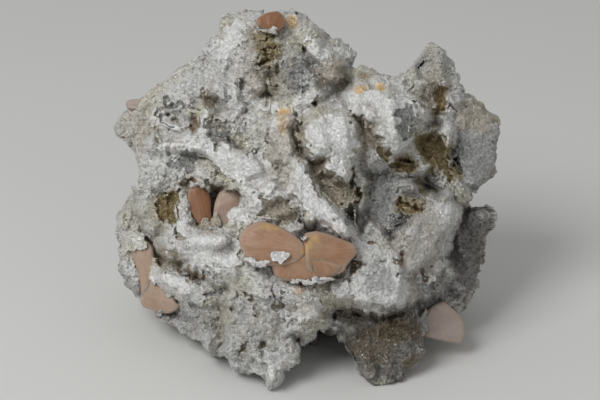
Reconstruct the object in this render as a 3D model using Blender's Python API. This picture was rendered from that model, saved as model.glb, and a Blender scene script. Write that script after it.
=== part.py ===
"""Stilbite on chalcedony: a hand specimen of sugary chalcedony plates with peach stilbite crystals.

The specimen stands on its own feet with its display face leaning back. The face is laid out in a
frame of its own: across to the right, up along the leaning face, and out towards the viewer.
Outlines are traced on a grid laid over that face from a front view, across from the left and
down from the top. Depths and half sizes are in millimetres, and angles in degrees.
"""

import math
from collections import namedtuple

import bmesh
import bpy
import numpy as np

MM = 0.001

# Driving dimensions
SPECIMEN_WIDTH = 120 * MM      # left corner to the edge of the right wing
WIDTH_IN_SQUARES = 387         # the same distance on the tracing grid
FACE_LEAN = 25.0               # how far the display face leans back from upright
VIEW_DISTANCE = 750 * MM       # the tracing was made from this far in front of the face
GRID_CENTRE = (300, 200)       # the square straight in front of the eye
GRID_FOOT = 390                # the row of squares through the tips of the two front feet
SOCKET_GAP = 0.3 * MM          # between each stilbite and the chalcedony that holds it
SQUARE = SPECIMEN_WIDTH / WIDTH_IN_SQUARES

# From the foot of the face to the middle of the specimen's floor area
STAND_AT = (-2.209 * MM, -43.684 * MM, 0.6 * MM)

FUSE_VOXEL = 0.9 * MM          # fuses the plates into one body
LUMP_SIZE = 9 * MM             # the rough relief over all of the body
LUMP_HEIGHT = 2.4 * MM
DENSE_TRIANGLES = 24000        # while the hollows are cut
BODY_TRIANGLES = 7000          # the finished facets
RIM_SPACING = 1.5 * MM         # along the outline of a plate
FACET_LENGTH = 3 * MM          # along the outline of a stilbite
RIM_BEVEL = 3.0                # the power of a plate's rim curve: a higher one is squarer
BACK_BEVEL = 6.0
CHALCEDONY_COLOUR = (0.62, 0.62, 0.60, 1.0)
CHALCEDONY_ROUGHNESS = 0.45
STILBITE_COLOUR = (0.74, 0.50, 0.36, 1.0)
STILBITE_ROUGHNESS = 0.35

# The rings of a plate from its back to its front: their reach as a share of the outline, and the
# side of the middle plane each lies on.
RING_REACH = np.array([0.55, 0.88, 1.0, 0.88, 0.55])
RING_SIDE = np.array([-1, -1, 0, 1, 1])

# An outline on the tracing grid, the depth of its front, its thickness, and how far its upper edge
# (lean) and its right edge (turn) fall back.
Sheet = namedtuple("Sheet", "outline out deep lean turn")

# A rounded mass or hollow: its middle on the grid and its half sizes across, up and deep.
Lump = namedtuple("Lump", "across down out half")

# A thin blade from one place to another, with its half width and half thickness.
Blade = namedtuple("Blade", "start end wide thick")


def on_face(across, down, out):
    """A grid square and a depth in mm, as a place in the face frame. A deeper place lies wider."""
    away = 1.0 - out * MM / VIEW_DISTANCE
    eye_up = (GRID_FOOT - GRID_CENTRE[1]) * SQUARE
    u = (across - GRID_CENTRE[0]) * SQUARE * away
    v = eye_up + (GRID_CENTRE[1] - down) * SQUARE * away
    return np.array([u, v, out * MM])


# Plates of the display face
PLATES = {
    "left_corner": Sheet(
        [(110, 129), (115, 120), (123, 110), (143, 99), (158, 104), (174, 122), (180, 138),
         (165, 150), (140, 156), (133, 149), (126, 140), (117, 137)], -14, 9, 14, -18),
    "upper_left_rim": Sheet(
        [(142, 100), (160, 86), (181, 73), (197, 64), (203, 55), (228, 60), (236, 90),
         (205, 104), (180, 112), (158, 108)], -12, 12, 34, -6),
    "crown_left": Sheet(
        [(206, 46), (219, 33), (223, 18), (232, 9), (244, 11), (257, 7), (268, 12), (262, 40),
         (258, 62), (262, 90), (250, 112), (236, 104), (222, 80), (203, 58)], -10, 14, 24, -14),
    "crown_right": Sheet(
        [(264, 26), (282, 14), (292, 8), (301, 12), (306, 22), (314, 28), (321, 37), (337, 38),
         (349, 48), (352, 66), (340, 88), (318, 98), (300, 92), (286, 102), (276, 84),
         (280, 50)], -11, 14, 22, 20),
    "crown_shelf": Sheet(
        [(286, 96), (300, 92), (322, 96), (342, 104), (338, 114), (318, 116), (300, 112),
         (286, 108)], -2, 10, 30, 8),
    "upper_middle": Sheet(
        [(250, 96), (285, 94), (302, 98), (300, 116), (291, 124), (296, 150), (286, 168),
         (262, 160), (240, 146), (232, 130), (238, 108)], 0, 16, 22, -6),
    "left_shoulder": Sheet(
        [(135, 152), (165, 148), (188, 152), (176, 168), (166, 194), (139, 192), (142, 172)],
        -8, 14, 10, -26),
    "window_bars": Sheet(
        [(176, 112), (205, 100), (240, 108), (240, 146), (200, 150), (170, 150)],
        -8, 12, 24, -12),
    "middle_band": Sheet(
        [(196, 148), (235, 146), (264, 160), (294, 172), (302, 190), (264, 198), (240, 192),
         (226, 180), (205, 168)], 3, 14, 30, -8),
    "diagonal_blade": Sheet(
        [(284, 150), (298, 160), (314, 182), (326, 202), (342, 222), (360, 242), (340, 240),
         (322, 232), (306, 206), (294, 188)], 9, 16, 12, 10),
    "left_rim": Sheet(
        [(141, 188), (129, 195), (123, 206), (118, 220), (117, 236), (118, 254), (120, 266),
         (126, 284), (134, 300), (146, 296), (154, 262), (160, 228), (162, 204)],
        -22, 16, 4, -26),
    "vug_bridge": Sheet(
        [(160, 190), (178, 182), (188, 192), (191, 222), (200, 232), (182, 236), (172, 222),
         (180, 206), (172, 196)], -4, 12, 8, -20),
    "lobe_under_vug": Sheet(
        [(180, 224), (200, 229), (215, 233), (234, 226), (242, 236), (240, 252), (250, 268),
         (228, 278), (205, 272), (186, 258), (172, 242)], 6, 20, 30, -14),
    "left_shelf": Sheet(
        [(156, 270), (180, 262), (204, 278), (232, 284), (240, 296), (212, 306), (184, 304),
         (174, 292), (162, 284)], -6, 18, 26, -26),
    "lower_middle": Sheet(
        [(226, 282), (268, 276), (300, 288), (328, 300), (328, 318), (314, 328), (300, 331),
         (287, 333), (290, 343), (300, 353), (290, 368), (266, 374), (246, 374), (231, 371),
         (222, 342)], 6, 16, -12, -4),
    "left_foot": Sheet(
        [(256, 356), (286, 356), (282, 370), (283, 382), (277, 390), (270, 389), (265, 379),
         (256, 373)], 5, 11, 2, -8),
    "lower_left": Sheet(
        [(176, 300), (232, 286), (240, 330), (233, 362), (222, 354), (211, 356), (206, 343),
         (196, 338), (186, 334), (177, 325), (166, 327), (150, 316)], -14, 18, -10, -38),
    "bow_tie_seat": Sheet(
        [(236, 256), (262, 262), (290, 280), (330, 284), (352, 296), (330, 306), (290, 302),
         (258, 298), (238, 286)], 12, 20, 16, 0),
    "leaf_left": Sheet(
        [(310, 118), (328, 111), (336, 132), (330, 154), (318, 155), (306, 158), (308, 146),
         (302, 138)], 9, 12, 14, -12),
    "leaf_middle": Sheet(
        [(328, 112), (343, 106), (353, 120), (358, 140), (352, 154), (336, 150), (326, 130)],
        7, 14, 22, 8),
    "leaf_right": Sheet(
        [(332, 134), (354, 138), (354, 160), (350, 180), (345, 184), (337, 178), (324, 172),
         (329, 154)], 6, 9, 6, 14),
    "right_slab": Sheet(
        [(344, 90), (362, 84), (384, 84), (406, 90), (424, 104), (428, 120), (414, 136),
         (402, 146), (398, 158), (388, 152), (378, 144), (374, 130), (360, 118), (348, 108)],
        0, 14, 16, 4),
    "saddle": Sheet(
        [(346, 70), (364, 69), (372, 76), (392, 79), (412, 74), (424, 72), (428, 90),
         (410, 98), (380, 92), (352, 90)], -9, 14, 36, 0),
    "horn": Sheet(
        [(418, 72), (419, 61), (427, 56), (430, 48), (437, 45), (443, 48), (451, 64),
         (458, 78), (464, 92), (456, 114), (436, 116), (424, 104), (414, 86)],
        -16, 9, 6, 4),
    "right_wing": Sheet(
        [(456, 86), (472, 95), (489, 111), (500, 122), (501, 148), (498, 162), (491, 182),
         (474, 190), (462, 186), (464, 168), (462, 150), (452, 132), (450, 108)],
        -21, 8, 0, 10),
    "olive_vug_rim": Sheet(
        [(418, 120), (440, 112), (456, 116), (450, 140), (446, 170), (456, 182), (474, 198),
         (460, 210), (444, 196), (428, 178), (418, 174), (428, 168), (440, 160), (440, 138)],
        -16, 12, 6, 4),
    "grey_mass": Sheet(
        [(356, 142), (372, 146), (386, 166), (404, 168), (418, 178), (418, 192), (404, 199),
         (384, 205), (362, 216), (350, 206), (352, 180), (358, 160)], -10, 16, 18, 4),
    "grey_shelf": Sheet(
        [(390, 186), (405, 180), (419, 186), (413, 198), (401, 200), (392, 195)], -7, 8, 26, 0),
    "grey_lower": Sheet(
        [(342, 206), (376, 206), (394, 214), (397, 228), (384, 242), (362, 246), (346, 230)],
        -6, 16, 16, 2),
    "big_blade": Sheet(
        [(459, 205), (455, 218), (446, 232), (436, 250), (420, 266), (396, 264), (390, 250),
         (402, 234), (416, 226), (420, 214), (432, 204), (446, 197)], -2, 9, 18, 6),
    "lower_right": Sheet(
        [(396, 250), (438, 248), (446, 264), (452, 276), (442, 288), (425, 294), (410, 300),
         (398, 288)], -7, 16, -6, 10),
    "white_fan": Sheet(
        [(352, 262), (366, 248), (386, 246), (399, 254), (403, 275), (411, 290), (408, 300),
         (400, 307), (390, 310), (374, 308), (362, 307), (350, 302), (340, 297), (334, 288),
         (342, 274)], 9, 12, 6, 6),
    "dark_right": Sheet(
        [(452, 212), (466, 206), (480, 209), (491, 208), (496, 216), (488, 232), (482, 246),
         (483, 262), (476, 271), (474, 286), (469, 300), (459, 310), (448, 304), (438, 290),
         (438, 262), (440, 236)], -25, 16, 6, 12),
    "right_foot_root": Sheet(
        [(404, 292), (442, 284), (458, 302), (452, 316), (430, 326), (421, 340), (402, 322)],
        -18, 14, -4, 10),
    "right_foot": Sheet(
        [(342, 326), (372, 304), (402, 302), (420, 320), (424, 345), (422, 360), (410, 370),
         (396, 379), (386, 386), (378, 391), (370, 389), (360, 370), (350, 358), (345, 346)],
        -4, 10, 16, -4),
    "between_feet": Sheet(
        [(300, 300), (350, 296), (366, 322), (352, 331), (338, 330), (330, 333), (320, 326)],
        -20, 16, -8, 4),
    "between_feet_back": Sheet(
        [(284, 322), (308, 322), (320, 340), (314, 348), (300, 346), (288, 344)],
        -26, 12, -8, 0),
}

# Plates of the hidden back, seen through from the front
BACK_PLATES = {
    "back_crown": Sheet(
        [(236, 34), (262, 26), (300, 36), (330, 58), (318, 92), (280, 104), (244, 96),
         (226, 64)], -26, 16, 12, 6),
    "back_left_shoulder": Sheet(
        [(160, 118), (188, 96), (236, 88), (252, 112), (236, 150), (196, 160), (166, 150)],
        -28, 18, 14, -16),
    "back_left": Sheet(
        [(140, 204), (176, 184), (222, 190), (236, 236), (214, 280), (168, 288), (144, 256)],
        -44, 16, 0, -22),
    "back_right_shoulder": Sheet(
        [(352, 96), (400, 88), (446, 108), (460, 130), (456, 178), (400, 180), (364, 140)],
        -31, 14, 8, 12),
    "back_middle": Sheet(
        [(232, 148), (290, 128), (352, 148), (366, 206), (330, 246), (262, 250), (222, 212)],
        -45, 15, 12, 4),
    "back_right": Sheet(
        [(372, 188), (428, 180), (462, 222), (458, 276), (414, 300), (378, 262)],
        -42, 15, 4, 14),
    "back_foot": Sheet(
        [(206, 240), (262, 230), (324, 236), (352, 262), (340, 314), (250, 318), (204, 288)],
        -46, 20, -6, 0),
    "back_low_right": Sheet(
        [(336, 256), (388, 250), (432, 278), (430, 312), (380, 322), (342, 306)],
        -42, 20, -12, 6),
    "back_low_left": Sheet(
        [(196, 280), (242, 276), (280, 300), (276, 332), (232, 338), (200, 322)],
        -34, 20, -14, -6),
}

# The mass behind the plates
MASSES = [
    Lump(262, 172, -32, (37, 33, 19)),
    Lump(282, 88, -24, (19, 19, 12)),
    Lump(196, 134, -26, (17, 11, 10)),
    Lump(190, 240, -36, (18, 17, 13)),
    Lump(394, 132, -30, (21, 14, 10)),
    Lump(400, 222, -36, (18, 24, 12)),
    Lump(376, 108, -22, (17, 9, 10)),
    Lump(452, 174, -30, (6, 7, 7)),
    Lump(250, 300, -20, (21, 16, 15)),
    Lump(328, 282, -30, (32, 12, 18)),
    Lump(270, 262, -4, (17, 9, 13)),
    Lump(330, 258, -6, (13, 9, 13)),
]

# Blades standing proud of the plates: the boxwork bars, the ribs and the ragged teeth
BLADES = [
    Blade((150, 103, -9), (177, 130, -5), 1.6, 2.4),
    Blade((160, 120, -8), (196, 131, -3), 1.5, 2.6),
    Blade((203, 104, -4), (204, 137, 0), 1.7, 3.2),
    Blade((146, 148, -6), (206, 143, 0), 2.2, 3.0),
    Blade((182, 92, -9), (196, 118, -4), 1.2, 2.4),
    Blade((214, 78, -8), (240, 112, -1), 1.5, 3.0),
    Blade((236, 60, -7), (262, 92, -2), 1.7, 3.0),
    Blade((250, 40, -8), (264, 60, -5), 1.2, 2.4),
    Blade((204, 150, 0), (262, 172, 7), 2.6, 3.0),
    Blade((214, 162, 0), (250, 184, 6), 1.5, 2.4),
    Blade((262, 130, 1), (290, 118, 4), 2.0, 3.0),
    Blade((272, 120, 2), (286, 168, 6), 1.7, 3.4),
    Blade((302, 30, -8), (322, 62, -5), 2.0, 3.4),
    Blade((326, 46, -10), (332, 84, -4), 2.2, 3.0),
    Blade((300, 70, -7), (318, 96, -1), 1.5, 3.0),
    Blade((386, 90, -2), (396, 146, 4), 2.0, 3.6),
    Blade((404, 92, -6), (424, 118, -3), 1.5, 2.6),
    Blade((356, 96, -3), (376, 122, 2), 1.6, 2.8),
    Blade((446, 118, -16), (446, 160, -11), 1.2, 4.4),
    Blade((436, 56, -17), (443, 92, -13), 2.0, 3.0),
    Blade((312, 124, 6), (326, 150, 11), 2.0, 3.0),
    Blade((340, 116, 5), (346, 150, 9), 2.2, 3.0),
    Blade((338, 150, 4), (346, 180, 7), 1.9, 2.4),
    Blade((262, 200, 3), (294, 212, 8), 1.5, 3.0),
    Blade((300, 196, 6), (312, 224, 13), 1.9, 3.0),
    Blade((320, 200, 8), (348, 236, 13), 2.2, 3.0),
    Blade((182, 244, 4), (232, 240, 12), 2.4, 3.4),
    Blade((190, 262, 0), (244, 256, 9), 2.0, 3.0),
    Blade((206, 278, -1), (246, 272, 8), 1.5, 3.0),
    Blade((160, 274, -9), (200, 292, -3), 2.2, 3.0),
    Blade((172, 196, -8), (186, 226, -1), 1.7, 3.2),
    Blade((146, 160, -10), (160, 188, -6), 2.2, 3.0),
    Blade((240, 294, 4), (268, 306, 9), 1.5, 3.0),
    Blade((236, 316, 2), (274, 330, 8), 1.8, 3.0),
    Blade((228, 346, -1), (256, 352, 6), 1.5, 2.8),
    Blade((276, 340, 3), (292, 352, 6), 1.9, 2.8),
    Blade((300, 296, 6), (322, 318, 9), 2.0, 3.0),
    Blade((396, 254, 5), (399, 304, 11), 1.2, 3.6),
    Blade((360, 268, 6), (370, 304, 11), 2.0, 2.6),
    Blade((338, 280, 5), (344, 300, 10), 1.4, 2.6),
    Blade((404, 270, -2), (424, 262, 2), 1.5, 2.8),
    Blade((420, 216, -3), (404, 246, 2), 1.2, 2.4),
    Blade((360, 212, -3), (392, 222, 1), 1.6, 3.0),
    Blade((366, 232, -3), (382, 246, 3), 1.5, 3.0),
    Blade((392, 184, -8), (416, 188, -4), 1.6, 2.6),
    Blade((430, 176, -12), (446, 178, -9), 1.2, 2.4),
    Blade((462, 216, -28), (488, 216, -24), 1.8, 3.0),
    Blade((452, 246, -26), (474, 258, -22), 2.2, 3.0),
    Blade((446, 280, -24), (466, 290, -21), 2.2, 3.0),
    Blade((362, 340, -7), (372, 380, 1), 2.2, 2.6),
    Blade((396, 326, -9), (410, 360, -3), 2.0, 2.6),
    Blade((200, 316, -6), (214, 346, -6), 1.8, 3.0),
    Blade((122, 214, -30), (132, 262, -25), 1.8, 3.0),
]

# Hollows sunk into the face
HOLLOWS = [
    Lump(212, 203, -2, (8.4, 7.0, 10.0)),
    Lump(167, 210, -9, (4.6, 4.6, 6.4)),
    Lump(331, 196, -1, (6.6, 5.8, 9.5)),
    Lump(430, 150, -12, (5.0, 6.4, 8.5)),
    Lump(402, 161, -6, (4.8, 2.4, 8.0)),
    Lump(366, 156, -2, (2.6, 5.2, 8.0)),
    Lump(408, 208, -4, (5.2, 3.0, 9.0)),
    Lump(276, 208, 6, (5.0, 4.0, 8.0)),
    Lump(364, 318, -2, (10.0, 3.6, 11.0)),
    Lump(300, 142, 0, (2.0, 6.8, 7.0)),
    Lump(457, 160, -26, (1.8, 2.8, 40.0)),
    Lump(269, 52, -8, (3.0, 4.4, 5.0)),
    Lump(272, 76, -5, (2.0, 3.0, 4.5)),
    Lump(294, 80, -6, (2.6, 5.0, 4.0)),
    Lump(208, 97, -7, (2.8, 2.6, 4.5)),
    Lump(171, 104, -9, (2.0, 1.8, 4.0)),
    Lump(195, 126, -5, (1.7, 3.0, 4.5)),
    Lump(227, 128, -3, (3.2, 4.4, 4.0)),
    Lump(168, 141, -6, (3.6, 1.2, 3.5)),
    Lump(215, 171, 2, (3.4, 1.4, 5.0)),
    Lump(168, 257, -8, (4.4, 3.0, 5.0)),
    Lump(191, 272, -3, (4.6, 1.2, 5.0)),
    Lump(251, 296, 7, (2.2, 2.2, 4.5)),
    Lump(230, 309, 4, (1.6, 2.0, 4.0)),
    Lump(263, 344, 5, (1.8, 1.8, 4.0)),
    Lump(440, 96, -14, (1.6, 4.4, 3.5)),
    Lump(424, 274, -3, (1.6, 1.6, 3.5)),
    Lump(358, 194, -3, (1.4, 2.8, 5.0)),
]

# Stilbite crystals, each made of one or more overlapping sheaves
STILBITES = {
    "stilbite_bow_tie": [
        Sheet([(237, 239), (243, 229), (253, 223), (263, 220), (277, 226), (291, 234),
               (304, 244), (307, 256), (296, 264), (280, 264), (264, 263), (252, 257),
               (243, 249)], 17, 8, 14, -14),
        Sheet([(302, 250), (306, 240), (317, 233), (326, 231), (341, 235), (353, 240),
               (361, 246), (359, 258), (350, 268), (340, 276), (322, 281), (304, 274)],
              16, 8, 16, 12),
        Sheet([(264, 258), (290, 254), (312, 256), (332, 266), (322, 281), (306, 286),
               (288, 284), (272, 274)], 17, 9, -12, 0),
    ],
    "stilbite_left_blade": [
        Sheet([(129, 246), (131, 234), (142, 230), (153, 240), (157, 262), (158, 282),
               (146, 290), (138, 284), (135, 264)], -20, 8, 4, -18),
        Sheet([(137, 300), (136, 280), (146, 272), (160, 280), (174, 292), (184, 306),
               (174, 312), (160, 314), (148, 311)], -18, 9, -6, -14),
    ],
    "stilbite_right_blade": [
        Sheet([(418, 334), (421, 322), (428, 308), (441, 302), (453, 307), (462, 317),
               (467, 331), (463, 344), (453, 343), (436, 340), (425, 338)], -14, 9, 6, 10),
    ],
    "stilbite_vug_large": [
        Sheet([(188, 190), (207, 191), (209, 212), (211, 229), (203, 228), (196, 217),
               (190, 206)], -5, 6, 6, 12),
    ],
    "stilbite_vug_small": [
        Sheet([(213, 204), (222, 189), (233, 188), (240, 200), (233, 209), (226, 221),
               (215, 230), (212, 216)], -4, 6, 10, -8),
    ],
    "stilbite_crown": [
        Sheet([(256, 18), (266, 12), (278, 10), (285, 16), (284, 27), (276, 32), (264, 29),
               (257, 25)], -7, 7, 16, 4),
    ],
    "stilbite_corner": [
        Sheet([(125, 102), (130, 99), (144, 99), (142, 108), (132, 110), (126, 108)],
              -16, 5, 6, -8),
    ],
}


def signed_power(values, exponent):
    return np.sign(values) * np.abs(values) ** exponent


def closed_rings(rings, first_pole, last_pole):
    """Points and faces of a stack of rings, closed by a pole at each end."""
    count, around = rings.shape[:2]
    points = np.vstack([rings.reshape(-1, 3), first_pole, last_pole])
    first, last = count * around, count * around + 1
    faces = []
    for ring in range(count - 1):
        low, high = ring * around, (ring + 1) * around
        for j in range(around):
            k = (j + 1) % around
            faces.append((low + j, low + k, high + k, high + j))
    top = (count - 1) * around
    for j in range(around):
        k = (j + 1) % around
        faces.append((first, k, j))
        faces.append((last, top + j, top + k))
    return points, faces


def sheet_shape(sheet, grow=0.0, spacing=RIM_SPACING, bevel=RIM_BEVEL):
    """A plate: its outline carried from a flat back over a rounded rim to a flat front."""
    corners = np.array([on_face(a, d, sheet.out) for a, d in sheet.outline])[:, :2]
    middle = corners.mean(axis=0)
    loop = np.vstack([corners, corners[:1]])
    length = np.r_[0, np.cumsum(np.hypot(*np.diff(loop, axis=0).T))]
    around = max(9, round(length[-1] / spacing))
    along = np.linspace(0, length[-1], around, endpoint=False)
    rim = np.stack([np.interp(along, length, loop[:, axis]) for axis in (0, 1)], axis=1)
    arms = rim - middle
    reach = np.linalg.norm(arms, axis=1, keepdims=True)
    arms = arms * (reach + grow) / reach
    half = sheet.deep * MM / 2 + grow
    height = RING_SIDE * half * (1 - RING_REACH ** bevel) ** (1 / bevel)
    flat = middle + RING_REACH[:, None, None] * arms
    slope = -np.tan(np.radians([sheet.turn, sheet.lean]))
    fall = (flat - middle) @ slope
    centre_out = (sheet.out - sheet.deep / 2) * MM
    rings = np.dstack([flat, centre_out + fall + height[:, None]])
    back = np.array([*middle, centre_out - half])
    front = np.array([*middle, centre_out + half])
    return closed_rings(rings, back, front)


def rounded_shape(middle, axes, across=24, rows=11, roundness=0.8):
    """A superellipsoid about its middle, along three half axes given as the rows of a matrix."""
    latitude = np.linspace(-math.pi / 2, math.pi / 2, rows + 2)[1:-1, None]
    longitude = np.linspace(0, 2 * math.pi, across, endpoint=False)[None]
    level = signed_power(np.cos(latitude), roundness)
    unit = np.dstack([level * signed_power(np.cos(longitude), roundness),
                      level * signed_power(np.sin(longitude), roundness),
                      signed_power(np.sin(latitude), roundness) + 0 * longitude])
    return closed_rings(middle + unit @ axes, middle - axes[2], middle + axes[2])


def lump_shape(lump, across=24, rows=11):
    middle = on_face(lump.across, lump.down, lump.out)
    return rounded_shape(middle, np.diag(lump.half) * MM, across, rows)


def blade_shape(blade):
    """A flat blade whose long axis runs from its start to its end, its thin edge outwards."""
    start, end = on_face(*blade.start), on_face(*blade.end)
    long_way = (end - start) / 2
    along = long_way / np.linalg.norm(long_way)
    side = np.cross(along, (0, 0, 1))
    side /= np.linalg.norm(side)
    axes = np.array([side * blade.wide * MM, np.cross(side, along) * blade.thick * MM, long_way])
    return rounded_shape((start + end) / 2, axes, across=12, rows=9, roundness=0.9)


def make_display_face():
    """The empty that leans the face frame back and sets its foot on the ground, +Z up."""
    face = bpy.data.objects.new("display_face", None)
    face.location = STAND_AT
    face.rotation_euler.x = math.radians(90 - FACE_LEAN)
    bpy.context.scene.collection.objects.link(face)


def recalculate_normals(mesh):
    work = bmesh.new()
    work.from_mesh(mesh)
    bmesh.ops.recalc_face_normals(work, faces=work.faces)
    work.to_mesh(mesh)
    work.free()


def add_object(name, shapes):
    """One object of several closed shapes, carried by the display face."""
    points, faces = [], []
    for shape_points, shape_faces in shapes:
        start = len(points)
        points.extend(shape_points.tolist())
        faces.extend([tuple(start + i for i in face) for face in shape_faces])
    mesh = bpy.data.meshes.new(name)
    mesh.from_pydata(points, [], faces)
    recalculate_normals(mesh)
    obj = bpy.data.objects.new(name, mesh)
    obj.parent = bpy.data.objects["display_face"]
    bpy.context.scene.collection.objects.link(obj)
    return obj


def bake_modifiers(obj):
    """The object's mesh becomes what its modifiers make of it."""
    graph = bpy.context.evaluated_depsgraph_get()
    baked = bpy.data.meshes.new_from_object(obj.evaluated_get(graph))
    obj.modifiers.clear()
    obj.data = baked


def keep_largest_body(obj):
    """Drops the crumbs and sealed bubbles that fusing and cutting leave."""
    work = bmesh.new()
    work.from_mesh(obj.data)
    seen, bodies = set(), []
    for start in work.verts:
        if start in seen:
            continue
        seen.add(start)
        body, front = [start], [start]
        while front:
            for edge in front.pop().link_edges:
                fresh = [vert for vert in edge.verts if vert not in seen]
                seen.update(fresh)
                body += fresh
                front += fresh
        bodies.append(body)
    bodies.sort(key=len)
    crumbs = [vert for body in bodies[:-1] for vert in body]
    bmesh.ops.delete(work, geom=crumbs, context="VERTS")
    work.to_mesh(obj.data)
    work.free()


def make_material(name, colour, roughness):
    material = bpy.data.materials.new(name)
    material.use_nodes = True
    shader = material.node_tree.nodes["Principled BSDF"]
    shader.inputs["Base Color"].default_value = colour
    shader.inputs["Roughness"].default_value = roughness
    shader.inputs["Metallic"].default_value = 0.0
    return material


def use_helper(obj, helper, operation):
    """Joins a helper solid to the object, or cuts it away."""
    helper.hide_render = True
    helper.display_type = "WIRE"
    boolean = obj.modifiers.new(helper.name, "BOOLEAN")
    boolean.operation = operation
    boolean.object = helper


def fuse(obj):
    """All the overlapping shapes of the object become one skin."""
    remesh = obj.modifiers.new("fuse", "REMESH")
    remesh.mode = "VOXEL"
    remesh.voxel_size = FUSE_VOXEL
    bake_modifiers(obj)
    keep_largest_body(obj)


def roughen(obj):
    """Lumps and dents over all of the skin, as the quartz crust has."""
    lumps = bpy.data.textures.new("lumps", "VORONOI")
    lumps.noise_scale = LUMP_SIZE
    displace = obj.modifiers.new("roughen", "DISPLACE")
    displace.texture = lumps
    displace.texture_coords = "LOCAL"
    displace.mid_level = 0.5
    displace.strength = LUMP_HEIGHT


def thin_to_facets(obj, triangles):
    """The dense skin becomes flat facets."""
    bake_modifiers(obj)
    obj.data.calc_loop_triangles()
    thin = obj.modifiers.new("thin", "DECIMATE")
    thin.ratio = triangles / len(obj.data.loop_triangles)
    bake_modifiers(obj)
    keep_largest_body(obj)


def make_ground_helper():
    """A block below the ground, which leaves small flat faces under the feet."""
    size = 2 * SPECIMEN_WIDTH
    mesh = bpy.data.meshes.new("below_ground")
    work = bmesh.new()
    bmesh.ops.create_cube(work, size=size)
    bmesh.ops.translate(work, verts=work.verts, vec=(0, 0, -size / 2))
    work.to_mesh(mesh)
    work.free()
    obj = bpy.data.objects.new("below_ground", mesh)
    bpy.context.scene.collection.objects.link(obj)
    return obj


def make_chalcedony(material):
    """The one grown body: plates, blades and masses fused, faceted, then hollowed."""
    shapes = [sheet_shape(sheet) for sheet in PLATES.values()]
    shapes += [sheet_shape(sheet, bevel=BACK_BEVEL) for sheet in BACK_PLATES.values()]
    shapes += [lump_shape(lump) for lump in MASSES]
    shapes += [blade_shape(blade) for blade in BLADES]
    body = add_object("chalcedony", shapes)
    fuse(body)
    roughen(body)
    thin_to_facets(body, DENSE_TRIANGLES)
    for number, hollow in enumerate(HOLLOWS):
        helper = add_object(f"hollow_{number}", [lump_shape(hollow, across=14, rows=7)])
        use_helper(body, helper, "DIFFERENCE")
    bake_modifiers(body)
    fuse(body)
    thin_to_facets(body, BODY_TRIANGLES)
    for name, sheets in STILBITES.items():
        for number, sheet in enumerate(sheets):
            socket = sheet_shape(sheet, SOCKET_GAP, FACET_LENGTH)
            use_helper(body, add_object(f"{name}_socket_{number}", [socket]), "DIFFERENCE")
    use_helper(body, make_ground_helper(), "DIFFERENCE")
    bake_modifiers(body)
    keep_largest_body(body)
    body.data.materials.clear()
    body.data.materials.append(material)


def make_stilbites(material):
    for name, sheets in STILBITES.items():
        shapes = [sheet_shape(sheet, spacing=FACET_LENGTH) for sheet in sheets]
        crystal = add_object(name, shapes[:1])
        for number, shape in enumerate(shapes[1:]):
            use_helper(crystal, add_object(f"{name}_part_{number}", [shape]), "UNION")
        bake_modifiers(crystal)
        crystal.data.materials.clear()
        crystal.data.materials.append(material)


def main():
    for obj in list(bpy.data.objects):
        bpy.data.objects.remove(obj)
    make_display_face()
    make_chalcedony(make_material("chalcedony", CHALCEDONY_COLOUR, CHALCEDONY_ROUGHNESS))
    make_stilbites(make_material("stilbite", STILBITE_COLOUR, STILBITE_ROUGHNESS))


main()
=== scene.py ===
# %% [markdown]
# Stilbite on chalcedony
#
# The real specimen is a crust of chalcedony that grew over thin blades, covered all over by a
# sugary druse of tiny quartz points. Peach stilbite crystals sit in it: a bow-tie on the middle
# of the face, blades on both edges and two crystals in a vug. The measured solids give the large
# forms. This lesson builds the relief, the grains and the finishes over them.
#
# The display face leans back, so the work is laid out in a frame of its own: across to the
# right, up along the face and out towards the viewer, in millimetres.

# %% Load the measured frame
import math
import time

import bpy
import numpy as np
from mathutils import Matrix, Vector
from mathutils.bvhtree import BVHTree


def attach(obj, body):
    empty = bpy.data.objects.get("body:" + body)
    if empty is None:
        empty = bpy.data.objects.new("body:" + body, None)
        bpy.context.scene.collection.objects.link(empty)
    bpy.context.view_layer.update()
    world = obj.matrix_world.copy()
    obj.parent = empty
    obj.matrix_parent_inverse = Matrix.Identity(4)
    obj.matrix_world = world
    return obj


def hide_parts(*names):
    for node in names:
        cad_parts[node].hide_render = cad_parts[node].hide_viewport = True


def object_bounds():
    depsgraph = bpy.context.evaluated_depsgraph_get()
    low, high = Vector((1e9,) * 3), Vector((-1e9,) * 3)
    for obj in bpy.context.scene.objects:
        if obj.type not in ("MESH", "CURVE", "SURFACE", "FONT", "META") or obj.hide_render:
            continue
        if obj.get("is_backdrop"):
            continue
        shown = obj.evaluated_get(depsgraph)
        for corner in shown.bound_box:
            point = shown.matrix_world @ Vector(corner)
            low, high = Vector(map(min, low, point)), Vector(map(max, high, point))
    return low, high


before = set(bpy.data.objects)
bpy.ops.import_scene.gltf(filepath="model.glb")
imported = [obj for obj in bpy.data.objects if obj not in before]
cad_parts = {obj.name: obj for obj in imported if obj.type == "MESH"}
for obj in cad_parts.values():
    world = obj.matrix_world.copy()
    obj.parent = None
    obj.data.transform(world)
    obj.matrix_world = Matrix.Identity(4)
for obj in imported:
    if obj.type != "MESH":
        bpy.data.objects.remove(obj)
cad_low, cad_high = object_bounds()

started = time.time()
rng = np.random.default_rng(20)


def tell(*words):
    print(*words, "after", round(time.time() - started), "s")


tell("CAD box in mm:", [round(v * 1000, 1) for v in (*cad_low, *cad_high)])

# %% [markdown]
# Places on the display face are read from a grid of squares, across from the left and down from
# the top, as one would trace the specimen through a gridded window. A deeper place lies a little
# wider than it looks, because the window is seen from a near eye. What was traced is kept as text:
# numbers with commas between them, and a blank after each row.

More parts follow.
